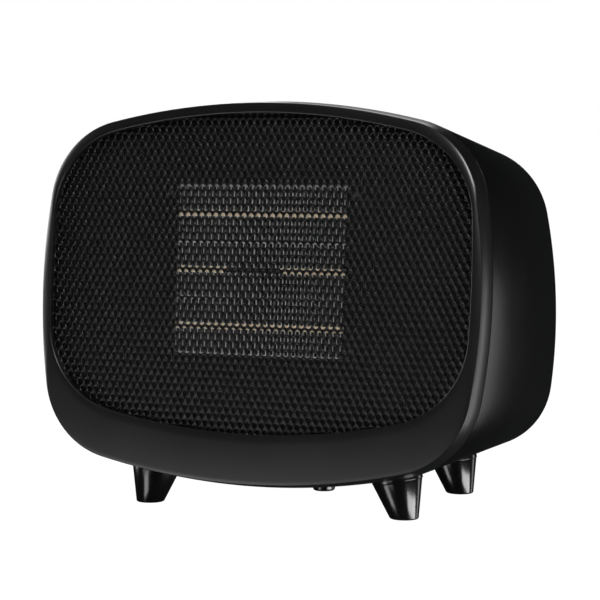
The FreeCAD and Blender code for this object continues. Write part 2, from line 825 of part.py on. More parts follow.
def make_fin_band(label, low, high):
    """One corrugated band between two flat pieces, folded from thin sheet."""
    pitch = float(dim.fin_pitch)
    half_sheet = float(dim.fin_sheet) / 2
    count = int(2 * float(dim.window_half_width) / pitch)
    bottom = float(low) + half_sheet
    top = float(high) - half_sheet
    path = []
    for fold in range(count + 1):
        x = (fold - count / 2) * pitch
        rising = fold % 2 == 0
        path.append((x, bottom if rising else top))
        path.append((x, top if rising else bottom))
    sides = {1: [], -1: []}
    for i, (x, z) in enumerate(path):
        before = path[max(i - 1, 0)]
        after = path[min(i + 1, len(path) - 1)]
        across = (z - before[1]) or (after[1] - z)
        along = (x - before[0]) or (after[0] - x)
        up = (across > 0) - (across < 0)
        end = i in (0, len(path) - 1)
        for side, points in sides.items():
            dz = 0 if end else side * half_sheet * ((along > 0) - (along < 0))
            points.append(Vector(x - side * half_sheet * up, float(frame_back), z + dz))
    loop = sides[1] + sides[-1][::-1]
    face = Part.Face(Part.makePolygon(loop + loop[:1]))
    solid = face.extrude(Vector(0, float(dim.element_depth), 0))
    node(plain(label + "_strip", solid), label, BODY)


def make_element():
    """Three ceramic strips, each between two fin bands, stacked between four plates."""
    half_width = dim.window_half_width
    fin_height = (dim.module_pitch - dim.plate_thickness - dim.strip_thickness) / 2
    bottom = dim.window_rise - stack_half_height
    names = ["bottom", "lower", "upper", "top"]
    for number, name in enumerate(names):
        z = bottom + dim.module_pitch * number
        plate = box(
            "plate_%d" % number,
            (-half_width, frame_back, z),
            (half_width, element_back, z + dim.plate_thickness),
        )
        node(together("plate_%d_place" % number, [plate]), "element_plate_" + name, BODY)
    for number, name in enumerate(["bottom", "middle", "top"]):
        low = bottom + dim.module_pitch * number + dim.plate_thickness
        strip_low = low + fin_height
        strip_high = strip_low + dim.strip_thickness
        strip = box(
            "strip_%d" % number,
            (-half_width, frame_back, strip_low),
            (half_width, element_back, strip_high),
        )
        node(together("strip_%d_place" % number, [strip]), "ptc_strip_" + name, BODY)
        make_fin_band("fin_band_%s_under" % name, low, strip_low)
        make_fin_band("fin_band_%s_over" % name, strip_high, strip_high + fin_height)

    outer = half_width + dim.holder_width
    for name, inside, outside in (("left", -outer, -half_width), ("right", half_width, outer)):
        block = box(
            "holder_%s_block" % name,
            (inside, frame_back, dim.window_rise - stack_half_height),
            (outside, element_back, dim.window_rise + stack_half_height),
        )
        side = -1 if name == "left" else 1
        bores = [
            rod(
                "holder_%s_bore_%d" % (name, i),
                (x, frame_back - 1, z),
                ELEMENT_SCREW_RADIUS,
                dim.element_depth + 2,
                "Y",
            )
            for i, (x, z) in enumerate(holder_screw_spots())
            if float(x) * side > 0
        ]
        node(cut("holder_%s_cut" % name, block, bores), "element_holder_" + name, BODY)

    middle = half_width + dim.holder_width / 2
    tabs = []
    for number, step in enumerate((-1, 0, 0.5, 1)):
        z = dim.window_rise + dim.module_pitch * step
        tabs.append(
            box(
                "tab_%d" % number,
                (middle - 0.4, element_back, z - dim.tab_width / 2),
                (middle + 0.4, element_back + dim.tab_length, z + dim.tab_width / 2),
            )
        )
    node(together("tabs", tabs), "terminal_tabs", BODY)
    node(
        screw_group(
            "element_screw",
            holder_screw_spots(),
            dim.frame_front,
            element_back,
            ELEMENT_SCREW_RADIUS,
        ),
        "element_screws",
        BODY,
    )


def screw_group(name, spots, tip, seat, radius):
    """Screws along Y, each with its tip at one depth and its head seated at another."""
    screws = []
    for i, (x, z) in enumerate(spots):
        shank = rod("%s_shank_%d" % (name, i), (x, tip, z), radius, seat - tip, "Y")
        head = rod("%s_head_%d" % (name, i), (x, seat, z), radius * 1.9, SCREW_HEAD_HEIGHT, "Y")
        screws.append(fuse("%s_%d" % (name, i), [shank, head]))
    return together(name + "_group", screws)


# ---------------------------------------------------------------- fan
FAN_SCREW_RADIUS = Size(1.5)
MOTOR_SCREW_OFFSET = Size(11)


def arm_screw_spots():
    reach = dim.arm_screw_radius
    rise = dim.window_rise
    return [(reach, rise), (Size(0), rise + reach), (-reach, rise), (Size(0), rise - reach)]


def make_shroud():
    """A square plenum behind the element, a round duct for the blades and a mounting flange."""
    inner_x = dim.window_half_width + dim.holder_width + dim.shroud_gap
    inner_z = stack_half_height + dim.shroud_gap
    rise = dim.window_rise
    wall = dim.shroud_wall
    axis = (Size(0), duct_front, rise)
    outside = box(
        "plenum_outside",
        (-inner_x - wall, frame_back, rise - inner_z - wall),
        (inner_x + wall, duct_front, rise + inner_z + wall),
    )
    inside = box(
        "plenum_inside",
        (-inner_x, frame_back - 1, rise - inner_z),
        (inner_x, duct_front - wall, rise + inner_z),
    )
    ring = rod("duct_ring", axis, dim.duct_radius + wall, dim.duct_depth, "Y")
    flange = rod(
        "duct_flange", (Size(0), duct_back - 3, rise), dim.flange_radius, Size(3), "Y"
    )
    bore = rod(
        "duct_bore", (Size(0), duct_front - wall - 1, rise), dim.duct_radius, dim.duct_depth + 9, "Y"
    )
    screw_bores = [
        rod("flange_bore_%d" % i, (x, duct_back - 8, z), FAN_SCREW_RADIUS, Size(10), "Y")
        for i, (x, z) in enumerate(arm_screw_spots())
    ]
    shell = fuse("shroud_outside", [outside, ring, flange])
    node(cut("shroud_cut", shell, [inside, bore] + screw_bores), "fan_shroud", BODY)


def make_impeller():
    """A hub with twisted blades, steep at the root and flat at the tip."""
    front = float(duct_front) + 2
    length = float(dim.hub_length)
    rise = float(dim.window_rise)
    hub = Part.makeCylinder(float(dim.hub_radius), length, Vector(0, front, rise), Y_AXIS)
    tip = float(dim.duct_radius - dim.blade_gap)
    sections = []
    for radius, chord, thickness, angle in ((8.0, 17, 2.4, 52), (tip, 24, 1.4, 27)):
        turn = Rotation(X_AXIS, angle)
        corners = [
            turn.multVec(Vector(0, y, z)) + Vector(radius, front + length / 2, rise)
            for y, z in (
                (-thickness / 2, -chord / 2),
                (thickness / 2, -chord / 2),
                (thickness / 2, chord / 2),
                (-thickness / 2, chord / 2),
            )
        ]
        sections.append(Part.makePolygon(corners + corners[:1]))
    blade = Part.makeLoft(sections, True, True)
    swept = Part.makeCylinder(tip, length, Vector(0, front, rise), Y_AXIS)
    blade = blade.common(swept)
    count = int(float(dim.blade_count))
    blades = []
    for number in range(count):
        turned = blade.copy()
        turned.rotate(Vector(0, 0, rise), Y_AXIS, 360.0 * number / count)
        blades.append(turned)
    bore = Part.makeCylinder(
        float(dim.shaft_radius), length + 2, Vector(0, front - 1, rise), Y_AXIS
    )
    solid = hub.fuse(blades).cut(bore).removeSplitter()
    node(plain("impeller_shape", solid.Solids[0]), "fan_impeller", BODY)


def make_motor():
    rise = dim.window_rise
    middle = Size(0)
    shaft_front = duct_front + 4
    shaft = rod(
        "shaft_rod", (middle, shaft_front, rise), dim.shaft_radius, motor_back + 3 - shaft_front, "Y"
    )
    node(together("shaft_place", [shaft]), "fan_shaft", BODY)

    bush_radius = dim.shaft_radius + 3
    bush_length = Size(4)
    can = rod("motor_can", (middle, bracket_back, rise), dim.motor_radius, dim.motor_length, "Y")
    hollow = [
        rod(
            "motor_bore",
            (middle, bracket_back - 1, rise),
            dim.shaft_radius + 0.8,
            dim.motor_length + 2,
            "Y",
        ),
        rod("bush_seat_front", (middle, bracket_back - 1, rise), bush_radius, bush_length + 1, "Y"),
        rod("bush_seat_back", (middle, motor_back - bush_length, rise), bush_radius, Size(5), "Y"),
    ]
    motor_bores = [
        rod(
            "motor_screw_bore_%d" % i,
            (MOTOR_SCREW_OFFSET * side, bracket_back - 1, rise),
            FAN_SCREW_RADIUS,
            Size(7),
            "Y",
        )
        for i, side in enumerate((-1, 1))
    ]
    node(cut("motor_cut", can, hollow + motor_bores), "motor_body", BODY)

    bushes = []
    for name, start in (("front", bracket_back), ("back", motor_back - bush_length)):
        ring = rod(name + "_bush_ring", (middle, start, rise), bush_radius, bush_length, "Y")
        bore = rod(
            name + "_bush_bore",
            (middle, start - 1, rise),
            dim.shaft_radius + dim.shaft_running_gap,
            bush_length + 2,
            "Y",
        )
        bushes.append(cut(name + "_bush", ring, [bore]))
    node(together("bushes", bushes), "motor_bushes", BODY)

    reach = dim.flange_radius - 1
    half_arm = dim.arm_width / 2
    arms = [
        box("arm_across", (-reach, duct_back, rise - half_arm), (reach, bracket_back, rise + half_arm)),
        box("arm_up", (-half_arm, duct_back, rise - reach), (half_arm, bracket_back, rise + reach)),
        rod("arm_disc", (middle, duct_back, rise), dim.motor_radius - 6, dim.bracket_thickness, "Y"),
    ]
    bracket_bores = [
        rod("bracket_bore", (middle, duct_back - 1, rise), bush_radius, dim.bracket_thickness + 2, "Y")
    ]
    for i, (x, z) in enumerate(arm_screw_spots()):
        bracket_bores.append(
            rod("arm_bore_%d" % i, (x, duct_back - 1, z), FAN_SCREW_RADIUS, Size(8), "Y")
        )
    for i, side in enumerate((-1, 1)):
        bracket_bores.append(
            rod(
                "bracket_motor_bore_%d" % i,
                (MOTOR_SCREW_OFFSET * side, duct_back - 1, rise),
                FAN_SCREW_RADIUS,
                Size(8),
                "Y",
            )
        )
    spider = fuse("bracket_spider", arms)
    node(cut("bracket_cut", spider, bracket_bores), "motor_bracket", BODY)
    node(
        screw_group("arm_screw", arm_screw_spots(), duct_back - 7, bracket_back, FAN_SCREW_RADIUS),
        "bracket_screws",
        BODY,
    )
    screws = []
    for i, side in enumerate((-1, 1)):
        x = MOTOR_SCREW_OFFSET * side
        shank = rod("motor_shank_%d" % i, (x, duct_back, rise), FAN_SCREW_RADIUS, Size(8), "Y")
        head = rod(
            "motor_head_%d" % i, (x, duct_back - 1.5, rise), FAN_SCREW_RADIUS * 1.8, Size(1.5), "Y"
        )
        screws.append(fuse("motor_screw_%d" % i, [shank, head]))
    node(together("motor_screw_group", screws), "motor_screws", BODY)


def make_thermal_cutout():
    """A bimetal disc and a fuse on a bracket above the plenum."""
    top = dim.window_rise + stack_half_height + dim.shroud_gap + dim.shroud_wall
    near = frame_back + 6
    plate_width = Size(17)
    middle = near + plate_width / 2
    half_plate = Size(27)
    plate_top = top + 1
    plate = box("cutout_plate", (-half_plate, near, top), (half_plate, near + plate_width, plate_top))
    fuse_radius = Size(2.2)
    fuse_length = Size(16)
    fuse_axis = top + 4.5
    half_clip = Size(3)
    clip_thickness = Size(1.5)
    clip_start = Size(2)
    clip_low, clip_top = top + 0.5, top + 7.5
    fuse_start = clip_start + clip_thickness
    clips = [
        box(
            "clip_" + name,
            (start, middle - half_clip, clip_low),
            (start + clip_thickness, middle + half_clip, clip_top),
        )
        for name, start in (("near", clip_start), ("far", fuse_start + fuse_length))
    ]
    node(fuse("cutout_bracket_shape", [plate] + clips), "cutout_bracket", BODY)
    disc_x = Size(-13)
    disc_radius, disc_height = Size(8), Size(5)
    cap_radius, cap_height = Size(6.5), Size(3)
    disc = rod("cutout_disc", (disc_x, middle, plate_top), disc_radius, disc_height)
    cap = rod("cutout_cap", (disc_x, middle, plate_top + disc_height), cap_radius, cap_height)
    node(fuse("cutout_shape", [disc, cap]), "thermal_cutout", BODY)
    link = rod("fuse_link", (fuse_start, middle, fuse_axis), fuse_radius, fuse_length, "X")
    node(together("fuse_place", [link]), "thermal_fuse", BODY)


# ---------------------------------------------------------------- rear cover and what it carries
def make_rear_cover():
    body = new_body("rear_cover_body")
    outside = rear_outline.inset(dim.shell_wall + dim.fit_gap)
    sketch = outline_sketch(body, "cover_sheet_outline", outside, cover_inside, cover_rise)
    pad(body, "cover_sheet", sketch, dim.cover_thickness)
    through = dim.cover_thickness + 2
    start = cover_inside - 1
    tools = []
    rows = int(float(dim.slot_rows))
    for row in range(rows):
        z = dim.slot_rise + dim.slot_pitch * (row - (rows - 1) / 2) - dim.slot_height / 2
        for name, low in (("left", -dim.slot_middle - dim.slot_length), ("right", dim.slot_middle)):
            tools.append(
                box(
                    "slot_%s_%d" % (name, row),
                    (low, start, z),
                    (low + dim.slot_length, start + through, z + dim.slot_height),
                )
            )
    holes = [
        ("mode_hole", dim.knob_side, dim.mode_knob_rise, dim.bush_radius),
        ("heat_hole", dim.knob_side, dim.heat_knob_rise, dim.bush_radius),
        ("lens_hole", dim.knob_side, dim.lens_rise, dim.lens_radius),
        ("gland_hole", dim.gland_side, dim.gland_rise, dim.gland_radius),
    ]
    holes += [
        ("screw_hole_%d" % i, x, z, COVER_SCREW_RADIUS) for i, (x, z) in enumerate(boss_spots())
    ]
    for name, x, z, radius in holes:
        tools.append(rod(name, (x, start, z), radius, through, "Y"))
    node(cut("rear_cover_cut", body, tools), "rear_cover", REAR)
    node(
        screw_group(
            "cover_screw",
            boss_spots(),
            cover_inside - dim.cover_screw_depth,
            cover_outside,
            COVER_SCREW_RADIUS,
        ),
        "cover_screws",
        REAR,
    )


CUTTER_LEAD = Size(1)  # a cutting tool starts this far outside what it cuts
SPINDLE_IN_SWITCH = Size(10)
SPINDLE_IN_KNOB = Size(10)
SPINDLE_END_GAP = Size(0.3)


def make_control(label, switch_label, rise, half_width, half_height, depth):
    """A switch behind the cover with its bush, spindle and knob."""
    x = dim.knob_side
    spindle_start = cover_inside - SPINDLE_IN_SWITCH
    knob_back = cover_outside + dim.knob_standoff
    case = box(
        label + "_case",
        (x - half_width, cover_inside - depth, rise - half_height),
        (x + half_width, cover_inside, rise + half_height),
    )
    neck_start = cover_inside - CUTTER_LEAD
    neck_length = dim.cover_thickness + CUTTER_LEAD
    neck = rod(label + "_neck", (x, neck_start, rise), dim.bush_radius, neck_length, "Y")
    bore_radius = dim.spindle_radius + dim.spindle_running_gap
    bore_start = spindle_start - SPINDLE_END_GAP
    bore_length = cover_outside + CUTTER_LEAD - bore_start
    bore = rod(label + "_bush_bore", (x, bore_start, rise), bore_radius, bore_length, "Y")
    body = fuse(label + "_switch_outside", [case, neck])
    node(cut(label + "_switch_cut", body, [bore]), switch_label, REAR)

    length = knob_back + SPINDLE_IN_KNOB - spindle_start
    spindle = rod(label + "_spindle_rod", (x, spindle_start, rise), dim.spindle_radius, length, "Y")
    node(together(label + "_spindle_place", [spindle]), label + "_spindle", REAR)

    radius = dim.knob_radius
    centre = (x, knob_back, rise)
    skirt_draft = Size(0.6)
    skirt_height = Size(5)
    skirt = cone(label + "_skirt", centre, radius, radius - skirt_draft, skirt_height, "Y")
    half_bar = Size(3.5)
    bar = box(
        label + "_bar",
        (x - half_bar, knob_back, rise - radius),
        (x + half_bar, knob_back + dim.knob_length, rise + radius),
    )
    bar_foot = radius - 0.8
    bar_top = radius - 2.5
    limit = cone(label + "_limit", centre, bar_foot, bar_top, dim.knob_length, "Y")
    grip = common(label + "_grip", bar, limit)
    hub_start = (x, knob_back - CUTTER_LEAD, rise)
    hub_length = SPINDLE_IN_KNOB + CUTTER_LEAD
    hub = rod(label + "_knob_bore", hub_start, dim.spindle_radius, hub_length, "Y")
    shape = fuse(label + "_outside", [skirt, grip])
    node(cut(label + "_knob_cut", shape, [hub]), label + "_knob", REAR)


def make_pilot_lamp():
    """A lens pressed into the cover with its lamp behind it."""
    x, z = dim.knob_side, dim.lens_rise
    neck_start = cover_inside - 4
    neck_length = cover_outside - neck_start
    lens_neck = rod("lens_neck", (x, neck_start, z), dim.lens_radius, neck_length, "Y")
    rim = dim.lens_radius + 1
    lens_cap = cone("lens_cap", (x, cover_outside, z), rim, dim.lens_radius, Size(1.6), "Y")
    node(fuse("lens_shape", [lens_neck, lens_cap]), "indicator_lens", REAR)
    lamp_radius, lamp_length = Size(3), Size(12)
    lamp = rod("lamp_rod", (x, neck_start - lamp_length, z), lamp_radius, lamp_length, "Y")
    node(together("lamp_place", [lamp]), "pilot_lamp", REAR)


def make_cord_gland():
    """A gland with a tapered sleeve outside the cover and its nut inside."""
    x, z = dim.gland_side, dim.gland_rise
    neck_inside = Size(8)
    collar_thickness = Size(3)
    sleeve_length = Size(12)
    nut_thickness = Size(5)
    flange = dim.gland_radius + 3
    neck_start = cover_inside - neck_inside
    neck_length = dim.cover_thickness + neck_inside
    neck = rod("gland_neck", (x, neck_start, z), dim.gland_radius, neck_length, "Y")
    collar = rod("gland_collar", (x, cover_outside, z), flange, collar_thickness, "Y")
    sleeve_start = cover_outside + collar_thickness
    sleeve_foot = dim.gland_radius + 1
    sleeve_tip = dim.cord_bore_radius + 1.5
    centre = (x, sleeve_start, z)
    sleeve = cone("gland_sleeve", centre, sleeve_foot, sleeve_tip, sleeve_length, "Y")
    bore_start = neck_start - CUTTER_LEAD
    bore_length = sleeve_start + sleeve_length + CUTTER_LEAD - bore_start
    bore = rod("gland_bore", (x, bore_start, z), dim.cord_bore_radius, bore_length, "Y")
    outside = fuse("gland_outside", [neck, collar, sleeve])
    node(cut("gland_cut", outside, [bore]), "cord_gland", REAR)
    nut_start = cover_inside - nut_thickness
    nut = rod("nut_ring", (x, nut_start, z), flange, nut_thickness, "Y")
    bore_start = nut_start - CUTTER_LEAD
    bore_length = nut_thickness + CUTTER_LEAD * 2
    nut_bore = rod("nut_bore", (x, bore_start, z), dim.gland_radius, bore_length, "Y")
    node(cut("nut_cut", nut, [nut_bore]), "gland_nut", REAR)


def make_terminal_block():
    """A three-way block on the inside of the cover, above the gland, with its screws."""
    x = dim.gland_side
    low = dim.gland_rise + 20
    depth = Size(13)
    height = Size(16)
    half_length = Size(15)
    screw_pitch = Size(9)
    screw_radius = Size(1.6)
    screw_depth = Size(6)
    bore_depth = Size(7)
    head_radius = Size(2.6)
    head_height = Size(1.5)
    back = cover_inside - depth
    high = low + height
    block = box("block_box", (x - half_length, back, low), (x + half_length, cover_inside, high))
    spots = [(x + screw_pitch * step, low + height / 2) for step in (-1, 0, 1)]
    bore_length = bore_depth + CUTTER_LEAD
    bores = [
        rod("block_bore_%d" % i, (sx, back - CUTTER_LEAD, sz), screw_radius, bore_length, "Y")
        for i, (sx, sz) in enumerate(spots)
    ]
    node(cut("block_cut", block, bores), "terminal_block", REAR)
    screws = []
    for i, (sx, sz) in enumerate(spots):
        shank = rod("block_shank_%d" % i, (sx, back, sz), screw_radius, screw_depth, "Y")
        seat = (sx, back - head_height, sz)
        head = rod("block_head_%d" % i, seat, head_radius, head_height, "Y")
        screws.append(fuse("block_screw_%d" % i, [shank, head]))
    node(together("block_screw_group", screws), "terminal_screws", REAR)


# ---------------------------------------------------------------- tip-over switch
def make_tip_over(hollow):
    """A sprung plunger that the floor pushes up against a switch's lever."""
    middle = Size(0)
    back = dim.plunger_back
    seat = underside(0, back) + dim.shell_wall
    collar_low = seat + dim.plunger_travel + dim.plunger_rest_gap
    collar_top = collar_low + dim.plunger_collar_height
    cap_low = collar_top + dim.spring_room
    cap_top = cap_low + dim.guide_cap
    stem_top = cap_top + dim.stem_rise
    nose = Size(1)
    radius = dim.plunger_radius
    collar_radius = dim.plunger_collar_radius
    collar_height = dim.plunger_collar_height
    plunger = fuse(
        "plunger_shape",
        [
            cone("plunger_nose", (middle, back, middle), radius - nose, radius, nose),
            rod("plunger_rod", (middle, back, nose), radius, collar_low - nose),
            rod("plunger_collar", (middle, back, collar_low), collar_radius, collar_height),
            rod("plunger_stem", (middle, back, collar_top), dim.stem_radius, stem_top - collar_top),
        ],
    )
    node(plunger, "tip_plunger", FLOOR)

    tube_low = seat - 4  # below the housing's floor, which trims it
    tube = rod("guide_tube", (middle, back, tube_low), dim.guide_radius, cap_top - tube_low)
    bore_low = tube_low - CUTTER_LEAD
    bore_radius = dim.guide_radius - dim.guide_wall
    bore = rod("guide_bore", (middle, back, bore_low), bore_radius, cap_low - bore_low)
    stem_bore_low = cap_low - CUTTER_LEAD
    stem_bore_radius = dim.stem_radius + dim.plunger_gap
    stem_bore_length = dim.guide_cap + CUTTER_LEAD * 2
    stem_bore = rod("stem_bore", (middle, back, stem_bore_low), stem_bore_radius, stem_bore_length)
    guide = cut("guide_cut", tube, [bore, stem_bore])
    node(common("guide_on_floor", guide, hollow), "plunger_guide", FLOOR)

    wire = float(dim.spring_wire)
    radius = float(dim.spring_radius)
    height = float(dim.spring_room) - 2 * wire
    start = float(collar_top) + wire
    helix = Part.makeHelix(height / float(dim.spring_turns), height, radius)
    profile = Part.Wire([Part.makeCircle(wire, Vector(radius, 0, 0), Y_AXIS)])
    coil = Part.Wire(helix.Edges).makePipeShell([profile], True, True)
    spring_place = Placement(Vector(0, float(back), start), Rotation())
    node(plain("spring_coil", coil), "plunger_spring", spring_place)

    pin_x = dim.lever_reach
    half_lever = dim.lever_width / 2
    lever_start = Size(-3)
    bump_radius = Size(0.9)
    lever_low = stem_top + 1.2
    lever_top = lever_low + dim.lever_thickness
    pin_z = stem_top + 0.6
    case_low = stem_top + 3.2
    case_top = case_low + 10
    hub_radius = dim.lever_pin_radius + 0.9
    cheek_inside = half_lever + 0.25
    cheek_outside = cheek_inside + 1.2
    front, rear = back - half_lever, back + half_lever
    arm = box("lever_arm", (lever_start, front, lever_low), (pin_x, rear, lever_top))
    bump = rod("lever_bump", (middle, front, lever_low), bump_radius, dim.lever_width, "Y")
    hub = rod("lever_hub", (pin_x, front, pin_z), hub_radius, dim.lever_width, "Y")
    bore_radius = dim.lever_pin_radius + dim.pin_running_gap
    bore_length = dim.lever_width + CUTTER_LEAD * 2
    pin_bore = rod("lever_bore", (pin_x, front - CUTTER_LEAD, pin_z), bore_radius, bore_length, "Y")
    lever = fuse("lever_outside", [arm, bump, hub])
    node(cut("lever_cut", lever, [pin_bore]), "tip_lever", FLOOR)
    pin_start = back - cheek_outside
    pin_length = cheek_outside * 2
    pin = rod("pin_rod", (pin_x, pin_start, pin_z), dim.lever_pin_radius, pin_length, "Y")
    node(together("pin_place", [pin]), "lever_pin", FLOOR)

    case_left = Size(-5)
    case_right = pin_x + 9
    case = box(
        "tip_case",
        (case_left, back - cheek_outside, case_low),
        (case_right, back + cheek_outside, case_top),
    )
    half_cheek = Size(2.5)
    cheek_low = pin_z - 2
    cheeks = [
        box(
            "cheek_" + name,
            (pin_x - half_cheek, start, cheek_low),
            (pin_x + half_cheek, start + cheek_outside - cheek_inside, case_low),
        )
        for name, start in (("front", back - cheek_outside), ("back", back + cheek_inside))
    ]
    button_x = Size(5)
    button_radius = Size(1)
    button_low = lever_top + 0.2
    button_length = case_low - button_low + 1
    button = rod("tip_button", (button_x, back, button_low), button_radius, button_length)
    pin_seat = rod(
        "pin_seat",
        (pin_x, pin_start - CUTTER_LEAD, pin_z),
        dim.lever_pin_radius,
        pin_length + CUTTER_LEAD * 2,
        "Y",
    )
    case_shape = fuse("tip_case_outside", [case, button] + cheeks)
    node(cut("tip_case_cut", case_shape, [pin_seat]), "tip_switch", FLOOR)

    half_post = Size(6)
    post_thickness = Size(2)
    strip_length = Size(14)
    strip_top = seat + 2.5
    front, rear = back - half_post, back + half_post
    post = box("post", (case_right, front, tube_low), (case_right + post_thickness, rear, case_top))
    strip_end = case_right + strip_length
    strip = box("post_foot", (case_right, front, tube_low), (strip_end, rear, strip_top))
    bracket = fuse("tip_bracket_shape", [post, strip])
    node(common("tip_bracket_on_floor", bracket, hollow), "switch_bracket", FLOOR)


# ---------------------------------------------------------------- the heater
make_bezel()
make_grille()
make_element_frame()
make_element()
make_shroud()
make_impeller()
make_motor()
make_thermal_cutout()
make_housing()
make_feet()
hollow_space = make_housing_solid("hollow_space", dim.shell_wall)
hollow_space.Placement = BODY
make_foot_screws(hollow_space)
make_tip_over(hollow_space)
make_rear_cover()
make_control("mode", "mode_switch", dim.mode_knob_rise, Size(14), Size(12), Size(20))
make_control("thermostat", "thermostat", dim.heat_knob_rise, Size(16), Size(13), Size(18))
make_pilot_lamp()
make_cord_gland()
make_terminal_block()

# ---------------------------------------------------------------- checks, origin and export
doc.recompute()
for obj in doc.Objects:
    if "Invalid" in obj.State or "Error" in obj.State:
        raise RuntimeError("%s failed: %s" % (obj.Name, obj.State))
for piece in nodes:
    if piece.Shape.isNull() or not piece.Shape.isValid() or not piece.Shape.Solids:
        raise RuntimeError("%s has no sound shape" % piece.Label)

# The origin is on the floor, under the middle of the whole heater's length.
boxes = [piece.Shape.optimalBoundingBox(False, False) for piece in nodes]
middle_y = (min(b.YMin for b in boxes) + max(b.YMax for b in boxes)) / 2
for piece in nodes:
    piece.Placement = Placement(Vector(0, -middle_y, 0), Rotation()).multiply(piece.Placement)

os.makedirs("parts", exist_ok=True)
for piece in nodes:
    piece.Shape.exportStep("parts/%s.step" % piece.Label)
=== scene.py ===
import math

import bmesh
import bpy
from mathutils import Matrix, Vector


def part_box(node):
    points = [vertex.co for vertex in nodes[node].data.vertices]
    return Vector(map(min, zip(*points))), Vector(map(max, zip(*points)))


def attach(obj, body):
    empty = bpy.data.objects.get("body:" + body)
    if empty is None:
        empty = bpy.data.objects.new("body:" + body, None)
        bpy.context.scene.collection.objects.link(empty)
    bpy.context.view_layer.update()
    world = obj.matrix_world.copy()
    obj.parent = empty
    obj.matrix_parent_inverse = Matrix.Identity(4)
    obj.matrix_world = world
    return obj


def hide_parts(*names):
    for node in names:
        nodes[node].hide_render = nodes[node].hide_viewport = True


# A small ceramic heater in the shape of an old television set: a moulded bezel round a perforated
# grille, a tapered housing on four splayed feet, and behind the grille three ceramic strips with
# their aluminium fins. Shapes are drawn in millimetres in the heater's own frames and placed in
# metres by FLOOR, BODY and REAR.

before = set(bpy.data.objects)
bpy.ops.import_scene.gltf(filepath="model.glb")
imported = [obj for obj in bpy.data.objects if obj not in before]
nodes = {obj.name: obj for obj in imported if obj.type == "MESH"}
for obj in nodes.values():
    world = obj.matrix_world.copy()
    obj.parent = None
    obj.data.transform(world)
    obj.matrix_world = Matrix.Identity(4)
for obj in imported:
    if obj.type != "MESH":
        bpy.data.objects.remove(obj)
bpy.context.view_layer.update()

# ---------------------------------------------------------------- frames and sizes, millimetres
MM = 0.001
FACE_HEIGHT = 118.615  # centre of the face above the floor
FACE_LEAN = 5.03  # degrees
MIDDLE = 82.968  # centre of the face in front of the heater's middle
BEZEL_DEPTH = 12.5
BEZEL_FLARE = 2.0
BEZEL_WALL = 2.2
FLANGE_BACK = 2.5
LIP_PROUD = 1.2
OPENING_RISE = 10.4
SEAM_GAP = 0.4
FIT_GAP = 0.3
SPIGOT_FRONT = 9.0
SPIGOT_BACK = 16.0
SPIGOT_WALL = 2.0
SHELL_WALL = 3.0
REAR_DEPTH = 156.8
REAR_RISE = 2.6
REAR_LEAN = 11.0
COVER_RECESS = 3.0
COVER_THICKNESS = 2.5
HOLE_PITCH = 4.07
ROW_PITCH = 3.79
HOLE_RADIUS = 1.5
GRILLE_THICKNESS = 1.0
FOOT_SIDE = 74.8
FOOT_BACKS = {"front": 28.0, "rear": 120.6}
FOOT_SPLAY = 12.0
FOOT_BASE = 7.4
FOOT_TAPER = 0.29
COLLAR_STEP = 0.2
COLLAR_HEIGHT = 2.6
FOOT_SCREW = 2.0
FOOT_SCREW_START = 8.0
PLUNGER_BACK = 100.0
PLUNGER_RADIUS = 6.3
PLUNGER_GAP = 0.4
ELEMENT_FRONT = 9.0
PLUNGER_TRAVEL = 4.0
PLUNGER_REST_GAP = 0.9
PLUNGER_COLLAR = 8.5
PLUNGER_COLLAR_HEIGHT = 2.0
STEM_RADIUS = 2.5
COVER_RISE = 0.756
SLOT_LENGTH = 46.0
SLOT_HEIGHT = 3.0
SLOT_PITCH = 6.5
SLOT_ROWS = 15
SLOT_MIDDLE = 4.0
SLOT_RISE = 8.0
SCREW_RADIUS = 1.5
SCREW_HEAD = 2.8
SCREW_DEPTH = 10.0
BOSS_SPOTS = [(97.7 * side, 69.5 * level) for side in (-1, 1) for level in (-1, 1)]
BOSS_RADIUS = 5.0
BOSS_LENGTH = 14.0
BOSS_BORE = 12.0
KNOB_SIDE = 86.0
KNOB_RISES = {"mode": 32.0, "thermostat": -14.0}
KNOB_RADIUS = 15.0
KNOB_LENGTH = 14.0
KNOB_STANDOFF = 0.6
BUSH_RADIUS = 5.0
LENS_RISE = 58.0
LENS_RADIUS = 3.5
GLAND_SIDE = -84.0
GLAND_RISE = -56.0
GLAND_RADIUS = 6.0
COVER_HOLES = [(KNOB_SIDE, rise, BUSH_RADIUS) for rise in KNOB_RISES.values()] + [
    (KNOB_SIDE, LENS_RISE, LENS_RADIUS),
    (GLAND_SIDE, GLAND_RISE, GLAND_RADIUS),
]
COVER_HOLES += [(across, rise, SCREW_RADIUS) for across, rise in BOSS_SPOTS]

FLOOR = Matrix.Scale(MM, 4) @ Matrix.Translation((0, -MIDDLE, 0))
BODY = (
    FLOOR
    @ Matrix.Translation((0, 0, FACE_HEIGHT))
    @ Matrix.Rotation(math.radians(-FACE_LEAN), 4, "X")
)
REAR_IN_BODY = Matrix.Translation((0, REAR_DEPTH, REAR_RISE)) @ Matrix.Rotation(
    math.radians(REAR_LEAN), 4, "X"
)
REAR = BODY @ REAR_IN_BODY
ALONG_Y = Matrix.Rotation(math.radians(-90), 4, "X")  # lays what is made along Z along Y
CUTTER = 10.0  # a tool that cuts the cover is this long


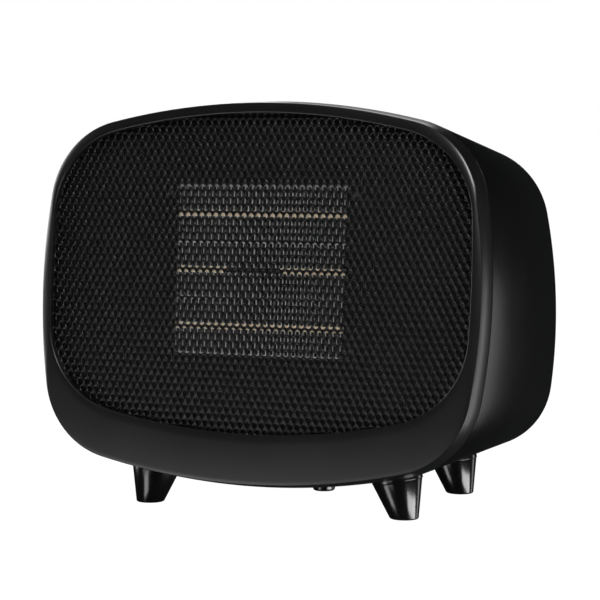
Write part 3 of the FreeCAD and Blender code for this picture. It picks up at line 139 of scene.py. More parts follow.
class Outline:
    """Four crowned edges and four round corners, each arc tangent to the next."""

    def __init__(self, half_width, half_height, crown, side, corner):
        self.half_width = half_width
        self.half_height = half_height
        self.crown = crown
        self.side = side
        self.corner = corner

    def inset(self, amount):
        return Outline(
            self.half_width - amount,
            self.half_height - amount,
            self.crown - amount,
            self.side - amount,
            self.corner - amount,
        )

    def between(self, other, share):
        mine = (self.half_width, self.half_height, self.crown, self.side, self.corner)
        theirs = (other.half_width, other.half_height, other.crown, other.side, other.corner)
        return Outline(*[a + (b - a) * share for a, b in zip(mine, theirs)])

    def corner_arc(self):
        """Centre of the top right corner's arc, and its start and end angles from the right."""
        side_x = self.half_width - self.side
        crown_z = self.half_height - self.crown
        span = math.hypot(side_x, crown_z)
        to_side = self.side - self.corner
        to_crown = self.crown - self.corner
        reach = (to_side**2 - to_crown**2 + span**2) / (2 * span)
        off = math.sqrt(to_side**2 - reach**2)
        x = side_x + (-side_x * reach - crown_z * off) / span
        z = (crown_z * reach - side_x * off) / span
        return x, z, math.atan2(z, x - side_x), math.atan2(z - crown_z, x)

    def turns(self):
        """Centre, turn and steps of each arc, clockwise from the middle of the top."""
        x, z, low, high = self.corner_arc()
        crown_z = self.half_height - self.crown
        side_x = self.half_width - self.side
        crown = math.pi / 2 - high
        bend = high - low
        return [
            ((0, crown_z), crown, 12),
            ((x, z), bend, 18),
            ((side_x, 0), 2 * low, 20),
            ((x, -z), bend, 18),
            ((0, -crown_z), 2 * crown, 24),
            ((-x, -z), bend, 18),
            ((-side_x, 0), 2 * low, 20),
            ((-x, z), bend, 18),
            ((0, crown_z), crown, 12),
        ]

    def holds(self, x, z):
        x, z = abs(x), abs(z)
        corner_x, corner_z, low, high = self.corner_arc()
        turn = math.atan2(z - corner_z, x - corner_x)
        if x > corner_x and z > corner_z and low < turn < high:
            return math.hypot(x - corner_x, z - corner_z) < self.corner
        in_crown = math.hypot(x, z - self.half_height + self.crown) < self.crown
        in_side = math.hypot(x - self.half_width + self.side, z) < self.side
        return in_crown and in_side


FRONT = Outline(125.0, 100.0, 373.0, 331.0, 46.0)
OPENING = Outline(119.6, 84.3, 364.0, 722.0, 47.0)
REAR_RIM = Outline(119.5, 95.6, 357.0, 316.0, 44.0)
SEAM = FRONT.inset(-BEZEL_FLARE)


def bezel_inside(depth):
    return FRONT.inset(BEZEL_WALL - BEZEL_FLARE * depth / BEZEL_DEPTH)


# ---------------------------------------------------------------- mesh tools
def new_parts(before, now):
    return [part for part in now if part not in before]


def ring(bm, outline, depth=0.0, rise=0.0, lean=0.0):
    """Draws an outline as a closed ring of edges, upright or leaning, and returns its edges."""
    old_verts, old_edges = set(bm.verts), set(bm.edges)
    tip = bm.verts.new((0, 0, outline.half_height))
    for (x, z), turn, steps in outline.turns():
        made = bmesh.ops.spin(
            bm, geom=[tip], cent=(x, 0, z), axis=(0, 1, 0), angle=turn, steps=steps, use_merge=False
        )
        tip = [part for part in made["geom_last"] if isinstance(part, bmesh.types.BMVert)][0]
    bmesh.ops.remove_doubles(bm, verts=new_parts(old_verts, bm.verts), dist=0.01)
    verts = new_parts(old_verts, bm.verts)
    place = Matrix.Translation((0, depth, rise)) @ Matrix.Rotation(math.radians(lean), 4, "X")
    bmesh.ops.transform(bm, matrix=place, verts=verts)
    return new_parts(old_edges, bm.edges)


def loft(bm, rings):
    for first, second in zip(rings, rings[1:]):
        bmesh.ops.bridge_loops(bm, edges=first + second)


def soften(bm, edges, radius, segments=3):
    bmesh.ops.bevel(
        bm,
        geom=edges,
        offset=radius,
        offset_type="OFFSET",
        affect="EDGES",
        segments=segments,
        profile=0.5,
        material=-1,
        clamp_overlap=True,
    )


def lathe(bm, profile, place=Matrix(), steps=48):
    """Turns (radius, height) points round the Z axis into a closed solid, then places it."""
    old_verts = set(bm.verts)
    points = [bm.verts.new((radius, 0, height)) for radius, height in profile]
    edges = [bm.edges.new(pair) for pair in zip(points, points[1:])]
    bmesh.ops.spin(
        bm,
        geom=points + edges,
        cent=(0, 0, 0),
        axis=(0, 0, 1),
        angle=math.tau,
        steps=steps,
        use_merge=True,
    )
    bmesh.ops.remove_doubles(bm, verts=new_parts(old_verts, bm.verts), dist=0.001)
    verts = new_parts(old_verts, bm.verts)
    faces = {face for vert in verts for face in vert.link_faces}
    bmesh.ops.recalc_face_normals(bm, faces=list(faces))
    bmesh.ops.transform(bm, matrix=place, verts=verts)
    return verts


def block(bm, size, place, radius=0.0, segments=3):
    """A box with every edge rounded."""
    verts = bmesh.ops.create_cube(bm, size=1.0)["verts"]
    bmesh.ops.scale(bm, vec=size, verts=verts)
    bmesh.ops.transform(bm, matrix=place, verts=verts)
    if radius:
        edges = {edge for vert in verts for edge in vert.link_edges}
        soften(bm, list(edges), radius, segments)


def bore_tool(bm, place, radius, low, high, steps):
    """A rod between two heights, which cuts a round hole."""
    lathe(bm, [(0, low), (radius, low), (radius, high), (0, high)], place, steps)


def slice_off(bm, point, normal):
    """Cuts away what is in front of a plane and closes the cut."""
    geometry = bm.verts[:] + bm.edges[:] + bm.faces[:]
    made = bmesh.ops.bisect_plane(
        bm, geom=geometry, plane_co=point, plane_no=normal, clear_outer=True, dist=0.001
    )
    edges = [part for part in made["geom_cut"] if isinstance(part, bmesh.types.BMEdge)]
    bmesh.ops.edgeloop_fill(bm, edges=edges)
    return edges


def make_piece(name, bm, place, finish, body="heater", replaces=(), crease=35.0):
    """Turns a mesh in millimetres into a piece in the heater's frame."""
    mesh = bpy.data.meshes.new(name)
    bm.to_mesh(mesh)
    bm.free()
    mesh.transform(place)
    mesh.polygons.foreach_set("use_smooth", [True] * len(mesh.polygons))
    mesh.set_sharp_from_angle(angle=math.radians(crease))
    mesh.materials.append(finish)
    piece = bpy.data.objects.new(name, mesh)
    bpy.context.scene.collection.objects.link(piece)
    if replaces:
        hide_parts(*replaces)
    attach(piece, body)
    return piece


def carve(bm, tools, crossing=False):
    """Cuts the solids of one mesh, which may cross each other, out of another."""
    pair = []
    for label, source in (("carved", bm), ("tools", tools)):
        mesh = bpy.data.meshes.new(label)
        source.to_mesh(mesh)
        source.free()
        item = bpy.data.objects.new(label, mesh)
        bpy.context.scene.collection.objects.link(item)
        pair.append(item)
    carved, cutter = pair
    modifier = carved.modifiers.new("cut", "BOOLEAN")
    modifier.operation = "DIFFERENCE"
    modifier.solver = "EXACT"
    modifier.use_self = crossing
    modifier.object = cutter
    bpy.context.view_layer.update()
    depsgraph = bpy.context.evaluated_depsgraph_get()
    result = bmesh.new()
    result.from_mesh(carved.evaluated_get(depsgraph).to_mesh())
    for item in pair:
        mesh = item.data
        bpy.data.objects.remove(item)
        bpy.data.meshes.remove(mesh)
    bmesh.ops.remove_doubles(result, verts=result.verts, dist=0.005)
    return result


# ---------------------------------------------------------------- finishes
class Value:
    """A number that varies over a surface. A sum of values adds the nodes that work it out."""

    def __init__(self, finish, socket):
        self.finish = finish
        self.socket = socket

    def sum(self, operation, first, second):
        inputs = {0: first, 1: second}
        return self.finish.node("Math", {"operation": operation}, inputs)

    def __add__(self, other):
        return self.sum("ADD", self, other)

    def __sub__(self, other):
        return self.sum("SUBTRACT", self, other)

    def __rsub__(self, other):
        return self.sum("SUBTRACT", other, self)

    def __mul__(self, other):
        return self.sum("MULTIPLY", self, other)

    def __pow__(self, other):
        return self.sum("POWER", self, other)

    __radd__ = __add__
    __rmul__ = __mul__

    def above(self, limit):
        return self.sum("GREATER_THAN", self, limit)

    def distance(self, middle):
        return self.finish.node("Math", {"operation": "ABSOLUTE"}, {0: self - middle})


class Finish:
    """One material, made of nodes that read the place on the heater."""

    def __init__(self, name, **constants):
        self.material = bpy.data.materials.new(name)
        self.material.use_nodes = True
        self.tree = self.material.node_tree
        self.shader = self.tree.nodes["Principled BSDF"]
        for label, value in constants.items():
            self.shader.inputs[label.replace("_", " ")].default_value = value
        self.place = self.node("TexCoord", output="Object")

    def node(self, kind, settings=None, inputs=None, output=0):
        made = self.tree.nodes.new("ShaderNode" + kind)
        for label, value in (settings or {}).items():
            if label == "stops":
                self.set_stops(made.color_ramp, value)
            else:
                setattr(made, label, value)
        for label, value in (inputs or {}).items():
            self.feed(made.inputs[label], value)
        return Value(self, made.outputs[output])

    def set_stops(self, ramp, stops):
        while len(ramp.elements) < len(stops):
            ramp.elements.new(0.5)
        for element, (position, colour) in zip(ramp.elements, stops):
            element.position = position
            element.color = (*colour, 1.0)

    def feed(self, socket, value):
        if isinstance(value, Value):
            self.tree.links.new(value.socket, socket)
        else:
            socket.default_value = value

    def set(self, **values):
        for label, value in values.items():
            self.feed(self.shader.inputs[label.replace("_", " ")], value)

    def noise(self, size, stretch=(1, 1, 1), detail=3.0, roughness=0.5):
        """Cloudy noise whose features are about size metres across."""
        place = self.place
        if stretch != (1, 1, 1):
            place = self.node("Mapping", {}, {"Vector": self.place, "Scale": stretch})
        inputs = {"Vector": place, "Scale": 1 / size, "Detail": detail, "Roughness": roughness}
        return self.node("TexNoise", {}, inputs)

    def specks(self, size, randomness=1.0):
        """Distance to the nearest of many scattered points, about size metres apart."""
        inputs = {"Vector": self.place, "Scale": 1 / size, "Randomness": randomness}
        return self.node("TexVoronoi", {}, inputs, "Distance")

    def axis(self, letter):
        return self.node("SeparateXYZ", {}, {0: self.place}, letter)

    def depth(self):
        """Metres behind the front outline's plane, which leans back."""
        lean = math.radians(FACE_LEAN)
        start = (MIDDLE * math.cos(lean) + FACE_HEIGHT * math.sin(lean)) * MM
        return self.axis("Y") * math.cos(lean) - self.axis("Z") * math.sin(lean) + start

    def blend(self, share, first, second):
        """Mixes two colours, by a value or a number."""
        made = self.tree.nodes.new("ShaderNodeMix")
        made.data_type = "RGBA"
        self.feed(made.inputs[0], share)
        for socket, colour in ((made.inputs[6], first), (made.inputs[7], second)):
            self.feed(socket, colour if isinstance(colour, Value) else (*colour, 1.0))
        return Value(self, made.outputs[2])

    def bump(self, height, distance, strength=1.0):
        inputs = {"Height": height, "Distance": distance, "Strength": strength}
        self.feed(self.shader.inputs["Normal"], self.node("Bump", {}, inputs))


def moulded(name, dark, light, roughness, grain, relief, **constants):
    """Moulded plastic: a fine spark-eroded grain, a faint flow of tone, and dust-dulled patches."""
    finish = Finish(name, **constants)
    tone = finish.noise(0.045, detail=4.0)
    fine = finish.noise(grain, detail=2.0)
    finish.set(
        Base_Color=finish.blend(tone, dark, light),
        Roughness=roughness + (tone - 0.5) * 0.10 + (fine - 0.5) * 0.06,
    )
    finish.bump(fine, relief)
    return finish.material


def coated_sheet(name):
    """Black powder coat on the perforated sheet, slightly pebbled, with a faint cloudy tone."""
    finish = Finish(name, IOR=1.5)
    pebble = finish.specks(0.0009)
    tone = finish.noise(0.02)
    finish.set(
        Base_Color=finish.blend(tone, (0.0010, 0.0010, 0.0011), (0.0022, 0.0022, 0.0024)),
        Roughness=0.14 + (tone - 0.5) * 0.08,
    )
    finish.bump(pebble, 0.00001)
    return finish.material


def bare_metal(name, dark, light, roughness, stretch, metallic=1.0, line=0.0006):
    """Rolled or drawn metal, with lines along its working direction and a few dull patches."""
    finish = Finish(name)
    lines = finish.noise(line, stretch, detail=2.0)
    patches = finish.noise(0.012)
    finish.set(
        Base_Color=finish.blend(lines * 0.6 + patches * 0.4, dark, light),
        Metallic=metallic,
        Roughness=roughness + (patches - 0.5) * 0.16 + (lines - 0.5) * 0.08,
    )
    finish.bump(lines, 0.00002)
    return finish.material


def edged_metal(name, face, shade, front, roughness):
    """Thin sheet seen edge on: bright raw front edges, and the walls behind them painted in a
    darker colour as painted shade.
    """
    finish = Finish(name)
    lines = finish.noise(0.0007, (1, 1, 0.2), detail=2.0)
    patches = finish.noise(0.006)
    # Painted shade: more than 0.6 mm behind the front edges, the base colour turns to the darker
    # shade colour.
    behind = (finish.depth() - front).above(0.0006)
    edge = finish.blend(lines * 0.5 + patches * 0.5, [0.72 * part for part in face], face)
    finish.set(
        Base_Color=finish.blend(behind, edge, shade),
        Metallic=0.25 + behind * 0.45,
        Roughness=roughness + (patches - 0.5) * 0.16,
    )
    finish.bump(lines, 0.00002)
    return finish.material


def ceramic_strip(name, gap_low=0.0, gap_high=0.0):
    """Pale fired ceramic with pores and browned patches; the middle strip has a bare gap."""
    finish = Finish(name)
    pores = finish.specks(0.0012)
    patches = finish.noise(0.006, detail=4.0)
    pale = finish.blend(patches, (0.88, 0.66, 0.43), (0.96, 0.84, 0.64))
    pored = finish.blend((0.35 - pores).above(0.22), pale, (0.36, 0.26, 0.16))
    colour = pored
    if gap_high > gap_low:
        middle = (gap_low + gap_high) / 2
        outside = finish.axis("X").distance(middle).above((gap_high - gap_low) / 2)
        colour = finish.blend(outside, (0.012, 0.011, 0.010), pored)
    finish.set(Base_Color=colour, Roughness=0.55 + (patches - 0.5) * 0.3)
    finish.bump(patches - pores * 0.5, 0.00008)
    return finish.material


def clear_red(name):
    finish = Finish(name, IOR=1.49, Coat_Weight=0.6)
    depth = finish.noise(0.003)
    finish.set(
        Base_Color=finish.blend(depth, (0.25, 0.006, 0.004), (0.50, 0.02, 0.012)),
        Roughness=0.12 + depth * 0.06,
    )
    return finish.material


BEZEL_BLACK = moulded(
    "bezel_black", (0.0030, 0.0030, 0.0032), (0.0055, 0.0055, 0.0058), 0.30, 0.0004, 0.00001
)
HOUSING_BLACK = moulded(
    "housing_black",
    (0.0018, 0.0018, 0.0019),
    (0.0030, 0.0030, 0.0032),
    0.25,
    0.0005,
    0.000004,
    Specular_IOR_Level=0.18,
)
COVER_BLACK = moulded(
    "cover_black", (0.008, 0.008, 0.0085), (0.014, 0.014, 0.0148), 0.42, 0.0006, 0.00003
)
FOOT_BLACK = moulded(
    "foot_black", (0.0020, 0.0020, 0.0021), (0.0035, 0.0035, 0.0037), 0.18, 0.0006, 0.000004
)
INNER_BLACK = moulded(
    "inner_black", (0.004, 0.004, 0.004), (0.010, 0.010, 0.010), 0.62, 0.0007, 0.00004
)
HOLDER_BLACK = moulded(
    "holder_black", (0.010, 0.009, 0.008), (0.020, 0.018, 0.016), 0.55, 0.0008, 0.00005
)
KNOB_BLACK = moulded(
    "knob_black", (0.006, 0.006, 0.006), (0.012, 0.012, 0.012), 0.40, 0.0005, 0.00002
)
PALE_MARK = moulded("pale_mark", (0.55, 0.55, 0.53), (0.70, 0.70, 0.68), 0.5, 0.0004, 0.00001)
CREAM_PLASTIC = moulded(
    "cream_plastic", (0.62, 0.58, 0.50), (0.76, 0.72, 0.64), 0.45, 0.0006, 0.00003
)
GRILLE_COAT = coated_sheet("grille_coat")
# The second colour of each aluminium is painted shade, for the walls behind the bright front edges.
FIN_ALUMINIUM = edged_metal(
    "fin_aluminium", (0.95, 0.95, 0.96), (0.10, 0.10, 0.105), ELEMENT_FRONT * MM, 0.40
)
PLATE_ALUMINIUM = edged_metal(
    "plate_aluminium", (0.95, 0.95, 0.96), (0.55, 0.55, 0.56), ELEMENT_FRONT * MM, 0.40
)
STEEL = bare_metal("zinc_steel", (0.30, 0.30, 0.31), (0.56, 0.56, 0.57), 0.36, (1, 0.1, 1))
DARK_STEEL = bare_metal("dark_screws", (0.03, 0.03, 0.032), (0.08, 0.08, 0.085), 0.40, (1, 1, 0.2))
BRASS = bare_metal("brass", (0.48, 0.34, 0.12), (0.72, 0.54, 0.22), 0.32, (1, 0.2, 1))
STRIP_CERAMIC = ceramic_strip("strip_ceramic")
GAPPED_CERAMIC = ceramic_strip("gapped_ceramic", -0.020, 0.011)
RED_LENS = clear_red("red_lens")

DRESS = {
    BEZEL_BLACK: ["front_bezel"],
    GRILLE_COAT: ["front_grille"],
    HOUSING_BLACK: ["housing_shell"],
    COVER_BLACK: ["rear_cover", "cord_gland"],
    FOOT_BLACK: [
        "foot_front_left",
        "foot_front_right",
        "foot_rear_left",
        "foot_rear_right",
        "foot_collars",
        "tip_plunger",
    ],
    INNER_BLACK: [
        "element_frame",
        "fan_shroud",
        "fan_impeller",
        "plunger_guide",
        "gland_nut",
        "mode_switch",
        "thermostat",
        "tip_switch",
    ],
    HOLDER_BLACK: ["element_holder_left", "element_holder_right"],
    KNOB_BLACK: ["mode_knob", "thermostat_knob"],
    CREAM_PLASTIC: ["terminal_block", "thermal_fuse"],
    FIN_ALUMINIUM: [
        "fin_band_%s_%s" % (strip, side)
        for strip in ("bottom", "middle", "top")
        for side in ("under", "over")
    ],
    PLATE_ALUMINIUM: ["element_plate_" + level for level in ("bottom", "lower", "upper", "top")]
    + ["terminal_tabs"],
    STEEL: [
        "element_screws",
        "motor_body",
        "motor_bracket",
        "motor_screws",
        "bracket_screws",
        "cutout_bracket",
        "thermal_cutout",
        "fan_shaft",
        "mode_spindle",
        "thermostat_spindle",
        "plunger_spring",
        "tip_lever",
        "lever_pin",
        "switch_bracket",
        "foot_screws",
    ],
    DARK_STEEL: ["cover_screws"],
    BRASS: ["motor_bushes", "terminal_screws"],
    STRIP_CERAMIC: ["ptc_strip_bottom", "ptc_strip_top"],
    GAPPED_CERAMIC: ["ptc_strip_middle"],
    RED_LENS: ["indicator_lens", "pilot_lamp"],
}


def dress_nodes():
    """Every node of the frame gets its finish."""
    for finish, names in DRESS.items():
        for name in names:
            item = nodes[name]
            if not item.material_slots:
                item.data.materials.append(finish)
            for slot in item.material_slots:
                slot.material = finish


# ---------------------------------------------------------------- bezel
def make_bezel():
    """A moulded frame: a proud lip round the opening, a crowned face and a flared side band."""
    bm = bmesh.new()
    lip = ring(bm, OPENING, -LIP_PROUD, OPENING_RISE)
    crown = []
    for share in (0.2, 0.4, 0.6, 0.8, 0.92):
        outline = OPENING.between(FRONT, share)
        depth = -LIP_PROUD * (1 - share**1.7)
        crown.append(ring(bm, outline, depth, OPENING_RISE * (1 - share)))
    edge = ring(bm, FRONT)
    seam = ring(bm, SEAM, BEZEL_DEPTH)
    back = ring(bm, bezel_inside(BEZEL_DEPTH), BEZEL_DEPTH)
    pocket = ring(bm, bezel_inside(FLANGE_BACK), FLANGE_BACK)
    flange = ring(bm, OPENING, FLANGE_BACK, OPENING_RISE)
    loft(bm, [lip, *crown, edge, seam, back, pocket, flange, lip])
    bmesh.ops.recalc_face_normals(bm, faces=bm.faces)
    soften(bm, edge, 0.3, 3)
    soften(bm, lip, 0.6)
    soften(bm, seam, 0.35, 2)
    make_piece(
        "bezel", bm, BODY, BEZEL_BLACK, replaces=["front_bezel"], crease=50.0
    )


# ---------------------------------------------------------------- grille
def make_grille():
    """A sheet of staggered round holes with rolled rims, in cells that meet side to side."""
    rim = 0.35
    bm = bmesh.new()
    half = HOLE_PITCH / 2
    shoulder = (ROW_PITCH**2 - half**2) / (2 * ROW_PITCH)
    peak = ROW_PITCH - shoulder
    corners = [
        (0, peak),
        (half, shoulder),
        (half, -shoulder),
        (0, -peak),
        (-half, -shoulder),
        (-half, shoulder),
    ]
    points = [bm.verts.new((x, 0, z)) for x, z in corners]
    border = [bm.edges.new(pair) for pair in zip(points, points[1:] + points[:1])]
    bmesh.ops.subdivide_edges(bm, edges=border, cuts=1)
    outer = bm.edges[:]
    upright = Matrix.Rotation(math.radians(90), 4, "X")
    made = bmesh.ops.create_circle(bm, radius=HOLE_RADIUS + rim, segments=12, matrix=upright)
    inner = list({edge for vert in made["verts"] for edge in vert.link_edges})
    bmesh.ops.bridge_loops(bm, edges=outer + inner)
    shrink = HOLE_RADIUS / (HOLE_RADIUS + rim)
    for scale, depth in ((shrink, rim), (1.0, GRILLE_THICKNESS - rim)):
        made = bmesh.ops.extrude_edge_only(bm, edges=inner)["geom"]
        verts = [part for part in made if isinstance(part, bmesh.types.BMVert)]
        bmesh.ops.scale(bm, vec=(scale, 1, scale), verts=verts)
        bmesh.ops.translate(bm, vec=(0, depth, 0), verts=verts)
        inner = [
            part
            for part in made
            if isinstance(part, bmesh.types.BMEdge) and all(vert in verts for vert in part.verts)
        ]
    bmesh.ops.recalc_face_normals(bm, faces=bm.faces)
    if bm.faces[0].normal.y > 0:
        bmesh.ops.reverse_faces(bm, faces=bm.faces)

    columns = int(OPENING.half_width / HOLE_PITCH) + 2
    rows = int(OPENING.half_height / ROW_PITCH) + 2
    cell = bm.verts[:] + bm.edges[:] + bm.faces[:]
    for column in range(-columns, columns + 1):
        if column:
            copy_across(bm, cell, (column * HOLE_PITCH, 0, 0))
    line = bm.verts[:] + bm.edges[:] + bm.faces[:]
    for row in range(-rows, rows + 1):
        if row:
            copy_across(bm, line, (half * (row % 2), 0, row * ROW_PITCH))
    bmesh.ops.remove_doubles(bm, verts=bm.verts, dist=0.01)
    cover = OPENING.inset(-1.8)
    outside = [
        face
        for face in bm.faces
        if not cover.holds(face.calc_center_median().x, face.calc_center_median().z)
    ]
    bmesh.ops.delete(bm, geom=outside, context="FACES")
    bmesh.ops.translate(bm, vec=(0, FLANGE_BACK, OPENING_RISE), verts=bm.verts)
    make_piece(
        "grille", bm, BODY, GRILLE_COAT, replaces=["front_grille"], crease=75.0
    )


def copy_across(bm, geometry, offset):
    made = bmesh.ops.duplicate(bm, geom=geometry)["geom"]
    verts = [part for part in made if isinstance(part, bmesh.types.BMVert)]
    bmesh.ops.translate(bm, vec=offset, verts=verts)


# ---------------------------------------------------------------- housing and its feet
def underside(across, back):
    """A point on the housing's underside and the direction it faces, in the floor's frame."""
    to_floor = FLOOR.inverted() @ BODY
    front = to_floor @ Vector((0, BEZEL_DEPTH, -SEAM.half_height))
    rear = to_floor @ REAR_IN_BODY @ Vector((0, 0, -REAR_RIM.half_height))
    share = (back - front.y) / (rear.y - front.y)
    crown = SEAM.crown + share * (REAR_RIM.crown - SEAM.crown)
    level = math.sqrt(crown**2 - across**2)
    slope = (rear.z - front.z) / (rear.y - front.y)
    height = front.z + share * (rear.z - front.z) + crown - level
    return Vector((across, back, height)), Vector((across / level, slope, -1)).normalized()


def foot_top(side, back):
    """Where a foot's axis meets the housing's underside, and which way that faces."""
    across = FOOT_SIDE
    for _ in range(4):
        point, facing = underside(side * across, back)
        across = FOOT_SIDE - point.z * math.tan(math.radians(FOOT_SPLAY))
    return point, facing


def foot_place(side, back):
    turn = Matrix.Rotation(math.radians(-side * FOOT_SPLAY), 4, "Y")
    return Matrix.Translation((side * FOOT_SIDE, back, 0)) @ turn


FEET = [
    (row + "_" + name, side, FOOT_BACKS[row])
    for row in ("front", "rear")
    for name, side in (("left", -1), ("right", 1))
]


def make_feet():
    """Turned cones, trimmed flat on the floor, and a collar that follows the housing above each."""
    reach = 34.0
    sunk = 5.0
    overlap = 0.4
    collars = bmesh.new()
    for name, side, back in FEET:
        point, facing = foot_top(side, back)
        place = foot_place(side, back)
        bm = bmesh.new()
        profile = [
            (0, -sunk),
            (FOOT_BASE - sunk * FOOT_TAPER, -sunk),
            (FOOT_BASE + reach * FOOT_TAPER, reach),
            (0, reach),
        ]
        lathe(bm, profile, place, 64)
        joint = slice_off(bm, point + facing * COLLAR_HEIGHT, -facing)
        sole = slice_off(bm, Vector((0, 0, 0)), Vector((0, 0, -1)))
        soften(bm, sole, 0.9, 4)
        soften(bm, joint, 0.35, 2)
        make_piece(
            "foot_" + name + "_turned",
            bm,
            FLOOR,
            FOOT_BLACK,
            replaces=["foot_" + name],
            crease=40.0,
        )
        collar = bmesh.new()
        height = underside(FOOT_SIDE, back)[0].z
        radius = FOOT_BASE + (height - COLLAR_HEIGHT) * FOOT_TAPER + COLLAR_STEP
        low = FOOT_SCREW_START
        lathe(collar, [(0, low), (radius, low), (radius, reach), (0, reach)], place, 64)
        slice_off(collar, point - facing * overlap, -facing)
        rim = slice_off(collar, point + facing * COLLAR_HEIGHT, facing)
        soften(collar, rim, 0.45, 3)
        mesh = bpy.data.meshes.new("collar")
        collar.to_mesh(mesh)
        collar.free()
        collars.from_mesh(mesh)
        bpy.data.meshes.remove(mesh)
    make_piece(
        "collars",
        collars,
        FLOOR,
        FOOT_BLACK,
        replaces=["foot_collars"],
        crease=40.0,
    )


def make_housing():
    """A tapered tube with a spigot that carries the bezel, and bosses for the rear cover."""
    bm = bmesh.new()
    front = BEZEL_DEPTH + SEAM_GAP
    inner_front = SEAM.inset(SHELL_WALL)
    inner_rear = REAR_RIM.inset(SHELL_WALL)
    share = (SPIGOT_BACK - front) / (REAR_DEPTH - front)
    spigot = bezel_inside(SPIGOT_FRONT).inset(FIT_GAP)
    shoulder = ring(bm, SEAM, front)
    rim = ring(bm, REAR_RIM, REAR_DEPTH, REAR_RISE, REAR_LEAN)
    lip = ring(bm, inner_rear, REAR_DEPTH, REAR_RISE, REAR_LEAN)
    rings = [
        shoulder,
        rim,
        lip,
        ring(bm, inner_front.between(inner_rear, share), SPIGOT_BACK, REAR_RISE * share),
        ring(bm, spigot.inset(SPIGOT_WALL), SPIGOT_BACK),
        ring(bm, spigot.inset(SPIGOT_WALL), SPIGOT_FRONT),
        ring(bm, spigot, SPIGOT_FRONT),
        ring(bm, spigot, front),
        shoulder,
    ]
    loft(bm, rings)
    bmesh.ops.recalc_face_normals(bm, faces=bm.faces)
    soften(bm, shoulder, 0.35, 2)
    soften(bm, rim, 1.0, 4)
    soften(bm, lip, 0.4, 2)
    seat = -COVER_RECESS - COVER_THICKNESS
    for across, rise in BOSS_SPOTS:
        place = REAR_IN_BODY @ Matrix.Translation((across, seat, rise)) @ ALONG_Y
        boss = [
            (0, -BOSS_LENGTH),
            (BOSS_RADIUS, -BOSS_LENGTH),
            (BOSS_RADIUS, 0),
            (SCREW_RADIUS, 0),
            (SCREW_RADIUS, -BOSS_BORE),
            (0, -BOSS_BORE),
        ]
        lathe(bm, boss, place, 32)
    tools = bmesh.new()
    to_body = BODY.inverted() @ FLOOR
    for name, side, back in FEET:
        place = to_body @ foot_place(side, back)
        bore_tool(tools, place, FOOT_SCREW, 5.0, 40.0, 24)
    place = to_body @ Matrix.Translation((0, PLUNGER_BACK, 0))
    bore_tool(tools, place, PLUNGER_RADIUS + PLUNGER_GAP, 2.0, 30.0, 40)
    carved = carve(bm, tools)
    make_piece(
        "housing",
        carved,
        BODY,
        HOUSING_BLACK,
        replaces=["housing_shell"],
        crease=40.0,
    )


def make_plunger():
    """The button that stands on the floor, with a rounded nose, a collar and a stem."""
    nose = 1.4
    chamfer = 0.2
    stem_chamfer = 0.4
    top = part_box("tip_plunger")[1][2] / MM
    height = underside(0, PLUNGER_BACK)[0].z
    collar = height + SHELL_WALL + PLUNGER_TRAVEL + PLUNGER_REST_GAP
    collar_top = collar + PLUNGER_COLLAR_HEIGHT
    profile = [(0, 0)]
    for step in range(7):
        turn = math.pi / 2 * step / 6
        radius = PLUNGER_RADIUS - nose * (1 - math.sin(turn))
        profile.append((radius, nose * (1 - math.cos(turn))))
    profile += [
        (PLUNGER_RADIUS, collar),
        (PLUNGER_COLLAR, collar + chamfer),
        (PLUNGER_COLLAR, collar_top - chamfer),
        (PLUNGER_COLLAR - chamfer, collar_top),
        (STEM_RADIUS, collar_top),
        (STEM_RADIUS, top - stem_chamfer),
        (STEM_RADIUS - stem_chamfer, top),
        (0, top),
    ]
    bm = bmesh.new()
    lathe(bm, profile, Matrix.Translation((0, PLUNGER_BACK, 0)), 48)
    make_piece(
        "plunger_button",
        bm,
        FLOOR,
        FOOT_BLACK,
        "tip_plunger_body",
        replaces=["tip_plunger"],
    )


# ---------------------------------------------------------------- rear cover and what it carries
def make_cover():
    """A flat moulded cover with two columns of round-ended slots and holes for its fittings."""
    bm = bmesh.new()
    outline = REAR_RIM.inset(SHELL_WALL + FIT_GAP)
    inside = ring(bm, outline, -COVER_RECESS - COVER_THICKNESS, COVER_RISE)
    outside = ring(bm, outline, -COVER_RECESS, COVER_RISE)
    loft(bm, [inside, outside])
    for edges in (inside, outside):
        bmesh.ops.edgeloop_fill(bm, edges=edges)
    bmesh.ops.recalc_face_normals(bm, faces=bm.faces)
    tools = bmesh.new()
    middle = -COVER_RECESS - COVER_THICKNESS / 2
    for row in range(SLOT_ROWS):
        rise = SLOT_RISE + SLOT_PITCH * (row - (SLOT_ROWS - 1) / 2)
        for side in (-1, 1):
            across = side * (SLOT_MIDDLE + SLOT_LENGTH / 2)
            slot_tool(tools, Matrix.Translation((across, middle, rise)))
    for across, rise, radius in COVER_HOLES:
        place = Matrix.Translation((across, middle - CUTTER / 2, rise)) @ ALONG_Y
        bore_tool(tools, place, radius, 0.0, CUTTER, 40)
    carved = carve(bm, tools)
    face = -COVER_RECESS - 0.01
    square = 1.0  # radians between the faces at an edge that is rounded
    rims = [
        edge
        for edge in carved.edges
        if len(edge.link_faces) == 2
        and all(vert.co.y > face for vert in edge.verts)
        and edge.calc_face_angle() > square
    ]
    soften(carved, rims, 0.25, 2)
    make_piece(
        "cover",
        carved,
        REAR,
        COVER_BLACK,
        replaces=["rear_cover"],
        crease=8.0,
    )


def slot_tool(bm, place):
    """A bar with round ends, which cuts one slot."""
    verts = bmesh.ops.create_cube(bm, size=1.0)["verts"]
    bmesh.ops.scale(bm, vec=(SLOT_LENGTH, CUTTER, SLOT_HEIGHT), verts=verts)
    bmesh.ops.transform(bm, matrix=place, verts=verts)
    edges = {edge for vert in verts for edge in vert.link_edges}
    along = [edge for edge in edges if abs(edge.verts[0].co.y - edge.verts[1].co.y) > CUTTER / 2]
    soften(bm, along, SLOT_HEIGHT / 2 - 0.02, 5)


